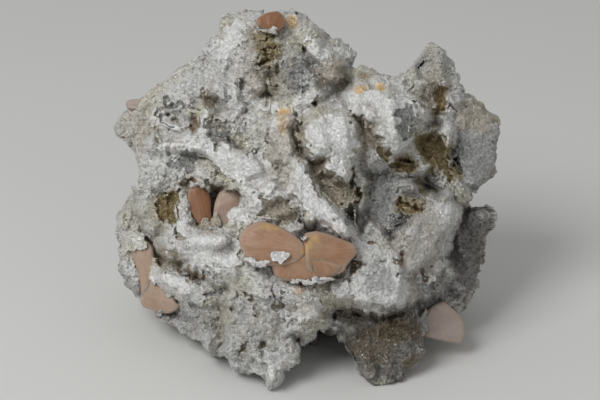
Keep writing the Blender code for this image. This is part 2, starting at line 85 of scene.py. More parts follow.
# %% The display face
MM = 0.001
SQUARE = 120 / 387
VIEW_DISTANCE = 750
FACE_LEAN = math.radians(25)
STAND_AT = np.array([-2.209, -43.684, 0.6])
GRID_SIZE = (600, 400)
GRID_MIDDLE = (300, 200)
GRID_FOOT = 390
FOOT_BELOW = (GRID_FOOT - GRID_MIDDLE[1]) * SQUARE
EYE = np.array([0, FOOT_BELOW, VIEW_DISTANCE])
TURN = np.array([[1, 0, 0],
                 [0, math.sin(FACE_LEAN), -math.cos(FACE_LEAN)],
                 [0, math.cos(FACE_LEAN), math.sin(FACE_LEAN)]])


def on_face(across, down, out=0.0):
    """A grid place and a depth as a point of the face frame: the square times 1 - out / distance."""
    across, down, out = np.broadcast_arrays(*(np.asarray(v, float) for v in (across, down, out)))
    away = 1 - out / VIEW_DISTANCE
    u = (across - GRID_MIDDLE[0]) * SQUARE * away
    v = FOOT_BELOW + (GRID_MIDDLE[1] - down) * SQUARE * away
    return np.stack([u, v, out], axis=-1)


def to_grid(points):
    """The grid place at which a point is seen: on_face solved for across and down."""
    away = SQUARE * (1 - points[:, 2] / VIEW_DISTANCE)
    return np.stack([GRID_MIDDLE[0] + points[:, 0] / away,
                     GRID_MIDDLE[1] - (points[:, 1] - FOOT_BELOW) / away], axis=1)


def to_row(points):
    """Face millimetres to the metres that the model stands in."""
    return (points @ TURN.T + STAND_AT) * MM


def to_face(points):
    return (points / MM - STAND_AT) @ TURN


def table(text, width=2):
    """Rows of so many numbers from text."""
    return np.array(text.replace(",", " ").split(), float).reshape(-1, width)


# %% [markdown]
# Every surface here is an array of points and an array of triangles. Two small helpers carry
# such arrays into a Blender mesh and back, so that the shapes themselves stay plain numpy.

# %% Arrays to meshes and back
def mesh_of(name, points, faces, numbers=()):
    """A mesh from face-frame points and triangles in one block, with named numbers on its points."""
    mesh = bpy.data.meshes.new(name)
    mesh.vertices.add(len(points))
    mesh.vertices.foreach_set("co", to_row(points).astype(np.float32).ravel())
    mesh.loops.add(faces.size)
    mesh.loops.foreach_set("vertex_index", faces.astype(np.int32).ravel())
    mesh.polygons.add(len(faces))
    mesh.polygons.foreach_set("loop_start", np.arange(0, faces.size, 3, dtype=np.int32))
    mesh.update(calc_edges=True)
    for key, values in dict(numbers).items():
        mesh.attributes.new(key, "FLOAT", "POINT").data.foreach_set("value", values.astype(np.float32))
    return mesh


def add_object(name, mesh):
    obj = bpy.data.objects.new(name, mesh)
    bpy.context.scene.collection.objects.link(obj)
    return obj


def arrays_of(mesh):
    """Points in the face frame and triangles of a mesh."""
    points = np.empty(len(mesh.vertices) * 3, np.float32)
    mesh.vertices.foreach_get("co", points)
    mesh.calc_loop_triangles()
    faces = np.empty(len(mesh.loop_triangles) * 3, np.int32)
    mesh.loop_triangles.foreach_get("vertices", faces)
    return to_face(points.reshape(-1, 3).astype(float)), faces.reshape(-1, 3)


def joined(shapes):
    """Several (points, faces) as one."""
    starts = np.cumsum([0] + [len(points) for points, _ in shapes[:-1]])
    points = np.vstack([points for points, _ in shapes])
    faces = np.vstack([faces + start for (_, faces), start in zip(shapes, starts)])
    return points, faces


def numbers_of(mesh, names):
    values = {name: np.empty(len(mesh.vertices), np.float32) for name in names}
    for name in names:
        mesh.attributes[name].data.foreach_get("value", values[name])
    return values


def baked(points, faces, *modifiers, numbers=()):
    """The arrays after modifiers given as (type, {setting: value}), with their numbers if any."""
    obj = add_object("working", mesh_of("working", points, faces, numbers))
    for kind, settings in modifiers:
        modifier = obj.modifiers.new(kind.lower(), kind)
        for setting, value in settings.items():
            setattr(modifier, setting, value)
    graph = bpy.context.evaluated_depsgraph_get()
    result = bpy.data.meshes.new_from_object(obj.evaluated_get(graph))
    bpy.data.objects.remove(obj)
    return (*arrays_of(result), numbers_of(result, numbers)) if numbers else arrays_of(result)


def fused(points, faces, voxel):
    """Overlapping closed shapes as one skin: a distance field on a grid of voxels, re-skinned."""
    return baked(points, faces, ("REMESH", {"mode": "VOXEL", "voxel_size": voxel * MM}))


# %% [markdown]
# Nature repeats nothing, so the relief needs noise that can be asked for at any point. Smooth
# noise blends random numbers held at the corners of a lattice. Cell noise gives the distance to
# the nearest of one random point per lattice cell, and turns easily into knobs or pits.

# %% Noise worked out on whole arrays
def lattice_random(cells, salt):
    """A number from 0 to 1 for each integer cell, by mixing its bits."""
    x, y, z = (cells[..., i].astype(np.uint32) for i in range(3))
    mixed = x * np.uint32(374761393) + y * np.uint32(668265263) + z * np.uint32(2246822519)
    mixed = mixed + np.uint32(salt * 3266489917 % 2 ** 32)
    mixed = (mixed ^ (mixed >> np.uint32(13))) * np.uint32(1274126177)
    mixed = (mixed ^ (mixed >> np.uint32(16))) * np.uint32(2654435769)
    return (mixed ^ (mixed >> np.uint32(15))) / np.float64(4294967295)


def smooth_noise(points, size, salt=0):
    """Value noise from 0 to 1: corner numbers blended by t * t * (3 - 2 * t) on each axis."""
    place = points / size
    low = np.floor(place)
    t = place - low
    t = t * t * (3 - 2 * t)
    total = 0
    for corner in np.ndindex(2, 2, 2):
        share = np.prod(np.where(corner, t, 1 - t), axis=-1)
        total = total + share * lattice_random((low + corner).astype(np.int64), salt)
    return total


def cell_noise(points, size, salt=0):
    """Distance to the nearest of the lattice's random points, in cells, and that cell's number."""
    place = points / size
    low = np.floor(place).astype(np.int64)
    nearest = np.full(len(points), 9.0)
    number = np.zeros(len(points))
    for step in np.ndindex(3, 3, 3):
        cell = low + np.array(step) - 1
        seed = np.stack([lattice_random(cell, salt + i) for i in (1, 2, 3)], axis=-1)
        distance = np.linalg.norm(cell + seed - place, axis=-1)
        closer = distance < nearest
        nearest = np.where(closer, distance, nearest)
        number = np.where(closer, lattice_random(cell, salt + 4), number)
    return nearest, number


# %% [markdown]
# The core is a merged copy of the measured chalcedony solid, so the dressed specimen has
# exactly the reach of the solid. It is only the ground that everything else grows from.

# %% The core of the chalcedony
MICRONS_PER_MM = 1000


def merged_copy(node):
    """The node's loose triangles as one closed surface: corners in the same place made one."""
    points, faces = arrays_of(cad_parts[node].data)
    _, first, index = np.unique(np.round(points * MICRONS_PER_MM), axis=0,
                                return_index=True, return_inverse=True)
    faces = index.reshape(-1)[faces]
    whole = (faces[:, 0] != faces[:, 1]) & (faces[:, 1] != faces[:, 2]) & (faces[:, 0] != faces[:, 2])
    return points[first], faces[whole]


core = merged_copy("chalcedony")
tell("core:", len(core[1]), "triangles")

# %% [markdown]
# Blades are the specimen's signature: chalcedony coated thin plates of an earlier mineral, so
# upright walls a millimetre thick stand on the face. One blade is a flattened ball whose rim is
# pushed in and out, and a thousand of them are the same sums on one larger array.

# %% Blades
def ball_grid(rows, around):
    """Directions on a closed grid of rings with a pole at each end, and its triangles."""
    latitude = np.linspace(-math.pi / 2, math.pi / 2, rows + 2)[1:-1, None]
    longitude = np.linspace(0, 2 * math.pi, around, endpoint=False)[None]
    ring = np.stack([np.cos(latitude) * np.cos(longitude),
                     np.cos(latitude) * np.sin(longitude),
                     np.sin(latitude) + 0 * longitude], axis=-1).reshape(-1, 3)
    points = np.vstack([ring, [[0, 0, -1], [0, 0, 1]]])
    return points, ring_faces(rows, around)


def ring_faces(rows, around):
    """Triangles between stacked rings, closed by two poles that follow them in the list."""
    low = np.arange((rows - 1) * around).reshape(rows - 1, around)
    side = np.roll(low, -1, axis=1)
    quads = np.stack([low, side, side + around, low + around], axis=-1).reshape(-1, 4)
    j = np.arange(around)
    k = (j + 1) % around
    south, north = rows * around, rows * around + 1
    top = (rows - 1) * around
    return np.vstack([quads[:, [0, 1, 2]], quads[:, [0, 2, 3]],
                      np.stack([0 * j + south, k, j], axis=-1),
                      np.stack([0 * j + north, top + j, top + k], axis=-1)])


def many(unit, faces, middles, axes):
    """One copy of a unit shape per middle, each with three half axes as the rows of a matrix."""
    points = middles[:, None] + np.einsum("nki,nij->nkj", unit, axes)
    start = np.arange(len(middles))[:, None, None] * unit.shape[1]
    return points.reshape(-1, 3), (faces[None] + start).reshape(-1, 3)


def unit_vectors(vectors):
    return vectors / np.linalg.norm(vectors, axis=-1, keepdims=True)


BLADE_GRID, BLADE_FACES = ball_grid(7, 12)
SQUARED_OFF = 0.75


def blades(middles, along, upright, half_long, half_high, half_thick, ragged):
    """Flat blades: squared-off balls, stretched along and upright, with each rim made ragged."""
    count = len(middles)
    along = unit_vectors(along)
    upright = unit_vectors(upright - np.sum(upright * along, axis=1, keepdims=True) * along)
    axes = np.stack([along * np.reshape(half_long, (-1, 1)),
                     upright * np.reshape(half_high, (-1, 1)),
                     np.cross(along, upright) * np.reshape(half_thick, (-1, 1))], axis=1)
    squared = np.sign(BLADE_GRID) * np.abs(BLADE_GRID) ** SQUARED_OFF
    rim = 1 + ragged * (rng.random((count, len(squared), 1)) - 0.5) * 2
    unit = squared[None] * np.concatenate([rim, rim, np.ones_like(rim)], axis=2)
    return many(unit, BLADE_FACES, middles, axes)


# %% [markdown]
# Some hollows of the solid are wide and plain. Lumps of crust at known depths raise their floors,
# so that the real recesses stay small. A lump is the same squared-off ball as a blade.

# %% Lumps
# Across, down, depth, then half sizes across, up and deep in mm
LUMPS = table("""
    272,207,4,9,7,6 250,200,2,8,5,6 338,192,-3,8,7,5 316,176,-4,5,6,5 166,168,-10,8,5,5 166,208,-13,6,7,5
    404,164,-11,7,4,4 372,148,-6,6,7,5 408,210,-10,7,4,5 430,152,-19,7,8,4 302,142,-3,3,8,5 180,240,-8,5,6,6
    212,206,-14,14,12,5 296,78,-8,4,8,5 226,133,-6,8,6,6 196,166,-10,10,5,6 214,172,-6,7,3,6 248,226,3,8,4,6
    276,234,4,8,4,6 440,168,-24,8,6,5 268,52,-12,5,6,5 372,318,-10,14,5,5
""", 6)
LUMP_RAGGED = 0.12


def lumps():
    middle = on_face(*LUMPS[:, :3].T)
    across = np.broadcast_to([1.0, 0.0, 0.0], middle.shape)
    up = np.broadcast_to([0.0, 1.0, 0.0], middle.shape)
    return blades(middle, across, up, *LUMPS[:, 3:].T, LUMP_RAGGED)


# %% [markdown]
# The look of the face is one of layers: smooth bright plates with saw-toothed edges, and sharp
# windows between them that open on a darker floor, stained or given painted shade. Each plate or
# window is an outline traced on the grid. Points of the skin that are seen inside an outline will
# move towards the eye or away.

# %% Traced plates and windows
def traced(text):
    """Rows with semicolons between: a size in mm, a colour, then an outline across and down."""
    rows = [row.split(None, 2) for row in text.split(";")]
    return [(float(size), colour, table(outline)) for size, colour, outline in rows]


# How far each plate rises
PLATES = traced("""
    1.6 white 302,139 305,128 308,122 316,124 322,118 342,113 350,118 358,130 359,142 350,148 355,157
        350,164 347,184 341,183 332,172 323,171 329,155 318,157 306,156 307,148;
    1.8 white 340,92 350,87 376,92 384,90 398,100 408,97 416,103 420,112 418,124 410,140 400,152 392,158
        384,147 378,138 377,130 366,122 352,112 343,102;
    1.2 white 150,147 175,145 200,141 215,147 240,150 262,153 275,175 284,188 262,191 246,194 236,184
        226,177 212,166 200,157 180,152 160,154;
    1 white 199,108 205,107 206,143 200,143;
    0.9 white 275,108 283,103 292,108 293,130 297,160 288,168 280,160 270,140;
    1.4 white 284,160 300,163 312,178 320,183 322,197 340,217 359,238 352,241 338,233 322,231 310,220
        300,200 288,184;
    1.2 white 172,228 186,222 197,224 201,230 214,233 222,226 234,228 236,238 238,248 244,260 226,266
        208,268 196,262 186,250 181,240;
    0.9 white 226,210 245,200 262,194 268,205 262,215 250,221 240,227 230,224;
    1.2 white 150,276 160,271 176,277 200,281 217,280 208,290 197,295 206,303 184,306 176,298 172,291
        160,287;
    1.5 white 420,213 432,205 446,203 458,204 452,222 447,232 438,240 436,246 441,260 444,276 428,282
        412,280 403,274 399,250 392,246 392,238 404,235 414,226;
    2 white 352,280 356,264 376,258 392,263 394,250 399,252 399,275 409,290 409,299 403,306 392,310 376,306
        369,309 360,305 352,303 349,295;
    1.4 white 333,284 345,274 351,280 350,292 344,301 338,294;
    0.8 white 346,246 358,238 370,247 392,248 392,260 370,257 358,262 356,256;
    0.9 white 455,110 470,100 486,110 499,126 499,145 494,152 496,166 488,178 474,188 462,184 460,165
        456,150 452,136;
    0.9 white 442,112 452,114 456,122 449,132 448,150 444,156 443,135 438,126;
    0.9 white 430,182 436,175 443,176 441,182;
    0.8 white 391,184 398,180 397,189 411,197 402,200 392,194;
    0.8 white 295,98 306,96 312,104 308,116 302,122 294,118;
    0.9 white 303,44 316,36 335,41 346,50 346,64 336,66 322,58 310,56;
    0.7 white 228,84 240,84 262,96 276,104 268,112 250,106 238,104;
    0.8 white 232,14 244,14 246,30 236,50 222,60 212,58 224,38;
    0.7 white 152,104 162,108 184,130 196,134 190,142 160,133 148,124;
    0.9 white 284,350 296,348 298,356 284,368 272,384 268,376 262,360 270,352;
    0.9 white 284,330 296,318 310,316 322,320 326,308 312,300 300,306 286,312
""")

# How deep each window is and the colour of its floor: tan, brown and olive are stains, grey is
# partly the quartz's own grey and partly painted shade, and dark is painted shade in the deepest pits
WINDOWS = traced("""
    1.2 tan 199,91 205,87 214,98 210,102 209,107 202,108 199,101;
    0.7 grey 221,86 227,92 226,102 220,108 221,97;
    0.9 grey 164,98 171,100 180,104 184,110 172,111 166,106;
    1.2 grey 154,104 161,110 172,126 165,123 158,114;
    1 tan 157,135 170,140 182,141 175,144 158,141;
    2.5 brown 191,116 197,117 199,131 195,133 190,125;
    2.5 dark 190,106 194,107 195,111 192,110;
    2 tan 175,115 178,114 180,118 177,120;
    2.5 olive 213,116 216,113 218,118 215,123;
    1.3 grey 210,124 229,118 232,130 245,146 238,149 222,146 207,140;
    3 dark 222,142 229,138 232,141 228,144;
    2.8 dark 250,152 253,149 255,152 251,154;
    1 tan 263,144 267,142 270,147 266,150;
    2 olive 269,69 276,67 277,72 274,76;
    2.5 olive 266,80 270,81 277,87 271,88;
    2.2 olive 256,37 270,34 272,37 262,40 258,45;
    3 olive 257,56 264,50 270,47 275,41 278,45 271,51 275,57 267,62 261,66 256,62 266,58 267,54;
    0.8 grey 286,58 300,56 306,66 304,92 292,94 286,80;
    2 dark 201,158 213,163 212,165 201,160;
    3 brown 208,169 218,171 226,174 225,177 214,175;
    0.8 grey 166,158 195,153 200,161 196,168 184,170 175,176 168,166;
    3.5 brown 182,176 188,179 196,175 195,182 190,185 184,182;
    2.5 tan 188,190 206,186 225,182 227,190 233,187 238,190 239,200 244,202 231,207 229,216 219,222 217,231
        212,230 210,225 203,229 196,218 189,212;
    2.5 olive 152,205 160,198 166,194 176,193 181,199 178,206 181,216 176,223 166,227 155,218;
    3 tan 294,121 301,120 304,130 300,141 306,148 307,157 298,160 294,148 297,136;
    3 tan 303,158 318,158 328,154 323,168 325,174 333,173 346,185 350,170 358,164 356,190 345,202 330,206
        321,194 312,177;
    2.5 tan 346,106 352,110 366,124 378,137 380,148 390,153 388,163 376,156 372,142 360,134 352,118;
    2.5 dark 309,101 316,100 322,104 318,107;
    3 brown 391,165 394,155 404,155 413,157 418,168 410,174 402,169;
    2.5 olive 412,140 418,132 430,137 441,136 446,150 450,165 456,176 450,183 440,172 430,164 418,152;
    4 dark 449,147 455,148 460,162 460,168 454,165;
    1.8 brown 434,86 438,83 443,90 444,112 436,112;
    2 brown 448,104 453,104 455,112 450,111;
    1.8 brown 414,100 420,102 422,107 417,107;
    2 dark 411,85 415,84 413,88;
    2 brown 424,173 429,175 428,191 423,190;
    2.2 brown 352,187 357,184 362,188 362,198 357,202 352,198;
    1.2 grey 353,210 362,207 366,210 360,214 356,223 348,229 346,222;
    2.8 brown 393,202 400,197 412,201 421,212 420,220 410,213 400,210;
    1.6 grey 392,217 402,213 412,222 404,228 394,238 390,234 398,222;
    1.6 tan 369,241 375,240 377,245 371,247;
    1.6 brown 371,219 376,217 380,221 374,222;
    1.6 tan 262,197 274,195 286,194 294,212 291,229 280,228 272,218 263,212;
    2 brown 300,211 305,216 303,220;
    2 brown 299,223 304,224 302,228;
    1.6 tan 156,246 165,245 178,256 188,260 180,263 168,267 158,263;
    1.8 tan 170,231 176,229 182,236 187,246 179,242;
    2.6 brown 175,270 180,267 188,268 206,274 204,281 194,276 184,275;
    2.2 tan 243,288 250,287 257,295 252,304 247,298;
    1.6 tan 233,294 239,291 243,296 236,298;
    2.2 tan 226,305 231,304 232,309 228,316;
    2.2 tan 252,315 255,312 261,309 260,315;
    2 tan 272,289 277,287 276,297 284,308 276,308 271,300;
    2.4 tan 257,338 262,341 269,348 263,348;
    2.4 tan 239,349 247,346 247,353 243,358;
    0.9 grey 196,297 222,291 224,296 206,300;
    1 grey 152,315 180,313 203,315 204,323 170,322;
    1.2 grey 251,259 258,262 265,268 259,271;
    1.6 brown 352,263 357,262 359,269 353,271;
    1.4 brown 400,253 404,262 400,267;
    1 brown 420,270 427,270 430,275 424,280;
    0.7 grey 396,110 412,109 419,120 416,132 404,139 399,128
""")
FINE_TEETH, COARSE_TEETH = (7.5, 1.2), (12.0, 2.6)


def into_outline(spots, outline, margin=4):
    """How many squares a grid place lies inside an outline, below zero outside, edge by edge."""
    depth = np.full(len(spots), -99.0)
    near = np.all((spots > outline.min(axis=0) - margin) & (spots < outline.max(axis=0) + margin), axis=1)
    place = spots[near]
    nearest, odd = np.full(len(place), 9e9), np.zeros(len(place), bool)
    for start, end in zip(outline, np.roll(outline, -1, axis=0)):
        edge, away = end - start, place - start
        t = np.clip(away @ edge / (edge @ edge), 0, 1)
        nearest = np.minimum(nearest, np.linalg.norm(away - t[:, None] * edge, axis=1))
        spans = (start[1] > place[:, 1]) != (end[1] > place[:, 1])
        odd ^= spans & (away[:, 0] * edge[1] < away[:, 1] * edge[0]) ^ (spans & (edge[1] < 0))
    depth[near] = np.where(odd, nearest, -nearest)
    return depth


def smooth_step(t):
    t = np.clip(t, 0, 1)
    return t * t * (3 - 2 * t)


def toothed(points, spots):
    """Grid places shaken by two sizes of noise, so that every edge seen through them has teeth."""
    shake = [sum(reach * (smooth_noise(points, size, salt + i) - 0.5)
                 for i, (reach, size) in enumerate((FINE_TEETH, COARSE_TEETH))) for salt in (71, 73)]
    return spots + np.stack(shake, axis=1)


# %% [markdown]
# The stilbites are separate crystals that lie in the crust. Their outlines are traced on the same
# grid, because the crust has to leave room for them.

# %% Traced crystals
# Name: outline, front depth, thickness, lean, turn, waist, ridge from and to, tip below the ridge
CRYSTALS = {
    "stilbite_bow_tie": [
        (table("238,237 244,229 252,224 261,221 270,223 285,229 297,237 304,244 306,254 298,262 284,266 "
               "268,266 256,264 247,258 240,248"),
         17, 8, 12, -4, (310, 252), (240, 246, 302, 250), 0.35),
        (table("303,240 305,233 316,231 328,234 342,239 356,245 358,254 349,263 344,272 332,277 316,276 "
               "304,268"),
         16, 8, 14, 10, (296, 254), (304, 256, 358, 252), 0.6),
        (table("270,262 288,257 306,254 326,260 344,266 336,276 318,281 300,283 284,281 274,276"),
         16.5, 9, -8, 0, (304, 246), None, 0.0),
    ],
    "stilbite_left_blade": [
        (table("128,236 134,232 142,236 150,244 153,248 155,262 158,270 154,280 152,292 142,300 140,285 "
               "137,270 133,262 129,250"),
         -20, 8, 4, -16, (146, 320), (134, 236, 144, 296), 0.3),
        (table("139,303 141,290 145,276 152,276 158,286 168,291 174,295 177,303 181,306 176,311 168,314 "
               "157,313 150,310 143,308"),
         -18, 8, 4, -16, (140, 262), (140, 296, 180, 302), 0.4),
    ],
    "stilbite_right_blade": [
        (table("419,334 421,322 427,311 434,305 445,301 457,312 465,323 466,334 462,344 450,343 436,340 "
               "425,337"),
         -14, 9, 6, 8, (424, 296), (422, 320, 466, 336), 0.5),
    ],
    "stilbite_vug_large": [
        (table("188,188 197,184 207,187 211,200 211,214 213,226 206,231 197,223 190,212 187,200"),
         -4, 6, 6, 8, (202, 250), (196, 186, 204, 228), 0.4),
    ],
    "stilbite_vug_small": [
        (table("214,204 218,193 226,187 235,186 243,195 239,206 233,213 230,222 223,229 215,227 213,214"),
         -1.5, 7, 8, -8, (216, 240), (218, 206, 238, 198), 0.4),
    ],
    "stilbite_crown": [
        (table("256,18 266,12 278,10 285,16 284,27 276,32 264,29 257,25"),
         -7, 7, 12, 4, (268, 40), (258, 22, 284, 24), 0.5),
    ],
    "stilbite_corner": [
        (table("125,102 130,99 144,99 142,108 132,110 126,108"),
         -16, 5, 6, -8, (150, 106), None, 0.0),
    ],
}

# %% [markdown]
# On the real face the crust bridges the gaps between its large forms, so it reads as one slab with
# windows in it. The outermost depth along each line of sight is laid out as a map. Spreading every
# high place sideways and shrinking it back closes the narrow gaps, and a blur softens what is
# left. The closed map becomes a thick sheet, with hollows for the deep windows and a bed for each
# crystal, a little behind the crystal's front.

# %% The bridging crust
CELL = 3
BRIDGE_REACH = 9
BLUR_ROUNDS = 14
CRUST_THICKNESS = 4.0
OPEN_DEPTH = 12.0
OPEN_WINDOW = 2.5
PROUD = 1.4
BED_REACH = 22
BED_SLOPE = 0.8
ROUGH_VOXEL, GROUND_VOXEL = 0.8, 0.7
MISSED_AT = -10.0


def moved(field, down, across, empty):
    """A map moved by whole cells, with empty cells coming in at its sides."""
    rows, columns = field.shape
    result = np.full_like(field, empty)
    result[max(down, 0):rows + min(down, 0), max(across, 0):columns + min(across, 0)] = field[
        max(-down, 0):rows + min(-down, 0), max(-across, 0):columns + min(-across, 0)]
    return result


def spread(field, reach):
    """Every cell takes the highest value within reach of it."""
    steps = [(i - reach, j - reach) for i, j in np.ndindex(2 * reach + 1, 2 * reach + 1)]
    near = [moved(field, i, j, -np.inf) for i, j in steps if math.hypot(i, j) <= reach]
    return np.max(near, axis=0)


def closed_gaps(field, reach):
    """Spread, then shrink back: gaps narrower than twice the reach are bridged."""
    wide = spread(field, reach)
    return -spread(np.where(np.isfinite(wide), -wide, -np.inf), reach)


def blurred(field, known, rounds):
    """The mean of each cell's known neighbours, several times over."""
    around = list(np.ndindex(3, 3))
    for _ in range(rounds):
        total = sum(moved(np.where(known, field, 0.0), i - 1, j - 1, 0.0) for i, j in around)
        count = sum(moved(known.astype(float), i - 1, j - 1, 0.0) for i, j in around)
        field = np.where(known, total / np.maximum(count, 1.0), field)
    return field


def spots_of(shape, cell):
    """The grid places of a map's cells."""
    down, across = np.indices(shape)
    return np.stack([across.ravel() + 0.5, down.ravel() + 0.5], axis=1) * cell


def face_of(inside):
    """Triangles between the cells of a map that are inside, and the edges that bound them."""
    number = np.arange(inside.size).reshape(inside.shape)
    whole = inside[:-1, :-1] & inside[1:, :-1] & inside[:-1, 1:] & inside[1:, 1:]
    a, b, c, d = (n[whole] for n in (number[:-1, :-1], number[1:, :-1], number[1:, 1:], number[:-1, 1:]))
    faces = np.vstack([np.stack([a, b, c], axis=1), np.stack([a, c, d], axis=1)])
    start, end = np.vstack([faces[:, [0, 1]], faces[:, [1, 2]], faces[:, [2, 0]]]).T
    alone = ~np.isin(start * inside.size + end, end * inside.size + start)
    return faces, start[alone], end[alone]


def sheet(top, bottom, inside):
    """A closed sheet between two depth maps: both faces, and a wall along the edge of the inside."""
    spots = spots_of(inside.shape, CELL)
    points = np.vstack([on_face(*spots.T, depth.ravel()) for depth in (top, bottom)])
    upper, start, end = face_of(inside)
    walls = np.vstack([np.stack([end, start, start + inside.size], axis=1),
                       np.stack([end, start + inside.size, end + inside.size], axis=1)])
    return points, np.vstack([upper, upper[:, ::-1] + inside.size, walls])


def beds(spots):
    """For each sheaf: its crystal, its outline, and its tilted front at grid places, less PROUD."""
    for name, sheaves in CRYSTALS.items():
        for outline, out, _, lean, turn, *_ in sheaves:
            middle = on_face(*outline.T, out)[:, :2].mean(axis=0)
            away = on_face(*spots.T, out)[:, :2] - middle
            yield name, outline, out - PROUD + away @ -np.tan(np.radians([turn, lean]))


def cleared(depth, spots, inset=0.0):
    """Depths with room made for the crystals: no more than the bed, an inset inside each outline."""
    for _, outline, bed in beds(spots):
        depth = np.where(into_outline(spots, outline) > inset, np.minimum(depth, bed), depth)
    return depth


def with_beds(level, spots):
    """The map with a bed under each crystal, the crust falling away from it on all sides."""
    inside_bed = np.full(len(spots), np.inf)
    for _, outline, bed in beds(spots):
        within = into_outline(spots, outline, BED_REACH)
        around = (within > -BED_REACH) & (within < 0)
        level = np.maximum(level, np.where(around, bed + BED_SLOPE * SQUARE * within, -np.inf))
        inside_bed = np.where(within >= 0, np.minimum(inside_bed, bed), inside_bed)
    return np.where(np.isfinite(inside_bed), inside_bed, level)


def bridging_crust(points):
    """The sheet that bridges a skin's gaps, from the skin's outermost depth in every cell."""
    row, column = np.floor(to_grid(points)[:, ::-1] / CELL).astype(int).T
    depth = np.full((GRID_SIZE[1] // CELL + 1, GRID_SIZE[0] // CELL), -np.inf)
    np.maximum.at(depth, (row, column), points[:, 2])
    depth = closed_gaps(depth, 1)
    inside = np.isfinite(depth)
    level = blurred(closed_gaps(depth, BRIDGE_REACH), inside, BLUR_ROUNDS)
    spots = spots_of(depth.shape, CELL)
    deep = [outline for size, _, outline in WINDOWS if size >= OPEN_WINDOW]
    open_share = np.max([smooth_step(into_outline(spots, outline) / CELL + 0.5) for outline in deep], axis=0)
    level = with_beds(level.ravel() - OPEN_DEPTH * open_share, spots).reshape(level.shape)
    inside &= ~np.isinf(-spread(np.where(inside, 0.0, np.inf), 1))
    bottom = np.where(inside, np.minimum(depth, level) - CRUST_THICKNESS, 0.0)
    return sheet(np.where(inside, level, 0.0), bottom, inside)


rough = fused(*joined([core, lumps()]), ROUGH_VOXEL)
ground = fused(*joined([rough, bridging_crust(rough[0])]), GROUND_VOXEL)
ground_tree = BVHTree.FromPolygons(ground[0].tolist(), ground[1].tolist())
tell("ground:", len(ground[1]), "triangles")


def seat(across, down):
    """Where the line of sight through a grid place first meets the ground."""
    aim = on_face(across, down) - EYE
    hit = ground_tree.ray_cast(Vector(EYE), Vector(aim))[0]
    return on_face(across, down, MISSED_AT) if hit is None else np.array(hit)


def seats(rows):
    """Both ends of each row's stretch from one grid place to another, and half their distance."""
    start, end = (np.array([seat(*place) for place in rows[:, i:i + 2]]) for i in (0, 2))
    return start, end, np.linalg.norm(end - start, axis=1) / 2


# %% [markdown]
# Some blades stand out by themselves on the real face, and each is set where it was seen.

# %% Named blades
# From and to on the grid, half height and half thickness in mm
NAMED_BLADES = table("""
    158,122,186,131,1.8,0.6 203,104,204,142,2,0.8 150,150,206,146,1.8,0.9 182,90,190,106,1.6,0.6
    232,76,242,112,1.8,0.7 214,158,262,176,1.8,1 302,30,322,62,2,0.9 326,46,332,84,1.8,0.9
    282,114,290,158,2,1 380,92,397,116,1.6,0.9 391,114,397,150,2.2,1 404,92,424,118,1.6,0.7
    446,116,447,162,2.4,0.6 436,54,443,82,2.2,0.8 340,158,346,182,1.6,1 300,166,312,186,1.8,0.9
    318,190,356,238,2,1.2 182,244,232,238,2,1 190,262,244,256,2,1 158,278,202,296,2,1.1
    396,250,397,290,2.2,0.7 338,280,344,300,2,0.7 421,214,402,240,1.6,0.6 462,216,488,216,2,0.8
    452,246,474,258,2,1 446,280,466,290,2,1 362,340,372,380,1.8,1 396,326,410,360,2,0.9
    122,214,132,262,2.2,0.8 263,60,270,52,1.6,0.6 418,132,440,128,1.6,0.7 232,188,262,196,3,1.6
    244,204,276,200,3,1.8 262,190,286,198,3,1.4 262,218,296,208,3,1.6 284,176,300,202,2.6,1.2
    296,182,322,222,2.2,1.2 214,226,236,222,2.2,1.2 250,336,262,366,2,0.9 268,352,274,382,1.8,0.9
    186,306,206,328,2,0.8 430,178,442,177,1.8,0.8
""", 6)
BLADE_RAGGED = 0.16


def named_blades():
    """Each stands on the ground where the grid says, its thin edge outwards."""
    start, end, half_long = seats(NAMED_BLADES)
    outwards = np.broadcast_to([0.0, 0.0, 1.0], start.shape)
    return blades((start + end) / 2, end - start, outwards, half_long, *NAMED_BLADES[:, 4:].T, BLADE_RAGGED)


# %% [markdown]
# Between the larger blades stand small ones. They are strewn over the ground by area. A slow noise
# turns their directions, so that neighbours run alike as they do where they coated one parent
# crystal. Few stand on the plates or on the back, and hardly any in the windows.

# %% Small blades
# How many places are tried for each blade, and the share that stays by where it stands
TRIES = 3
IN_WINDOW, ON_PLATE, BEHIND = 0.02, 0.10, 0.35
PARENT_SIZE = 14.0


def strewn(points, faces, count, weight=None):
    """Random places on a skin, as many per area as the weight says, with their normals."""
    corners = points[faces]
    normal = np.cross(corners[:, 1] - corners[:, 0], corners[:, 2] - corners[:, 0])
    area = np.linalg.norm(normal, axis=1)
    share = area if weight is None else area * weight
    pick = rng.choice(len(faces), count, p=share / share.sum())
    a, b = rng.random((2, count, 1))
    a, b = np.where(a + b > 1, 1 - a, a), np.where(a + b > 1, 1 - b, b)
    place = corners[pick, 0] * (1 - a - b) + corners[pick, 1] * a + corners[pick, 2] * b
    return place, normal[pick] / np.maximum(area[pick, None], 1e-12), pick


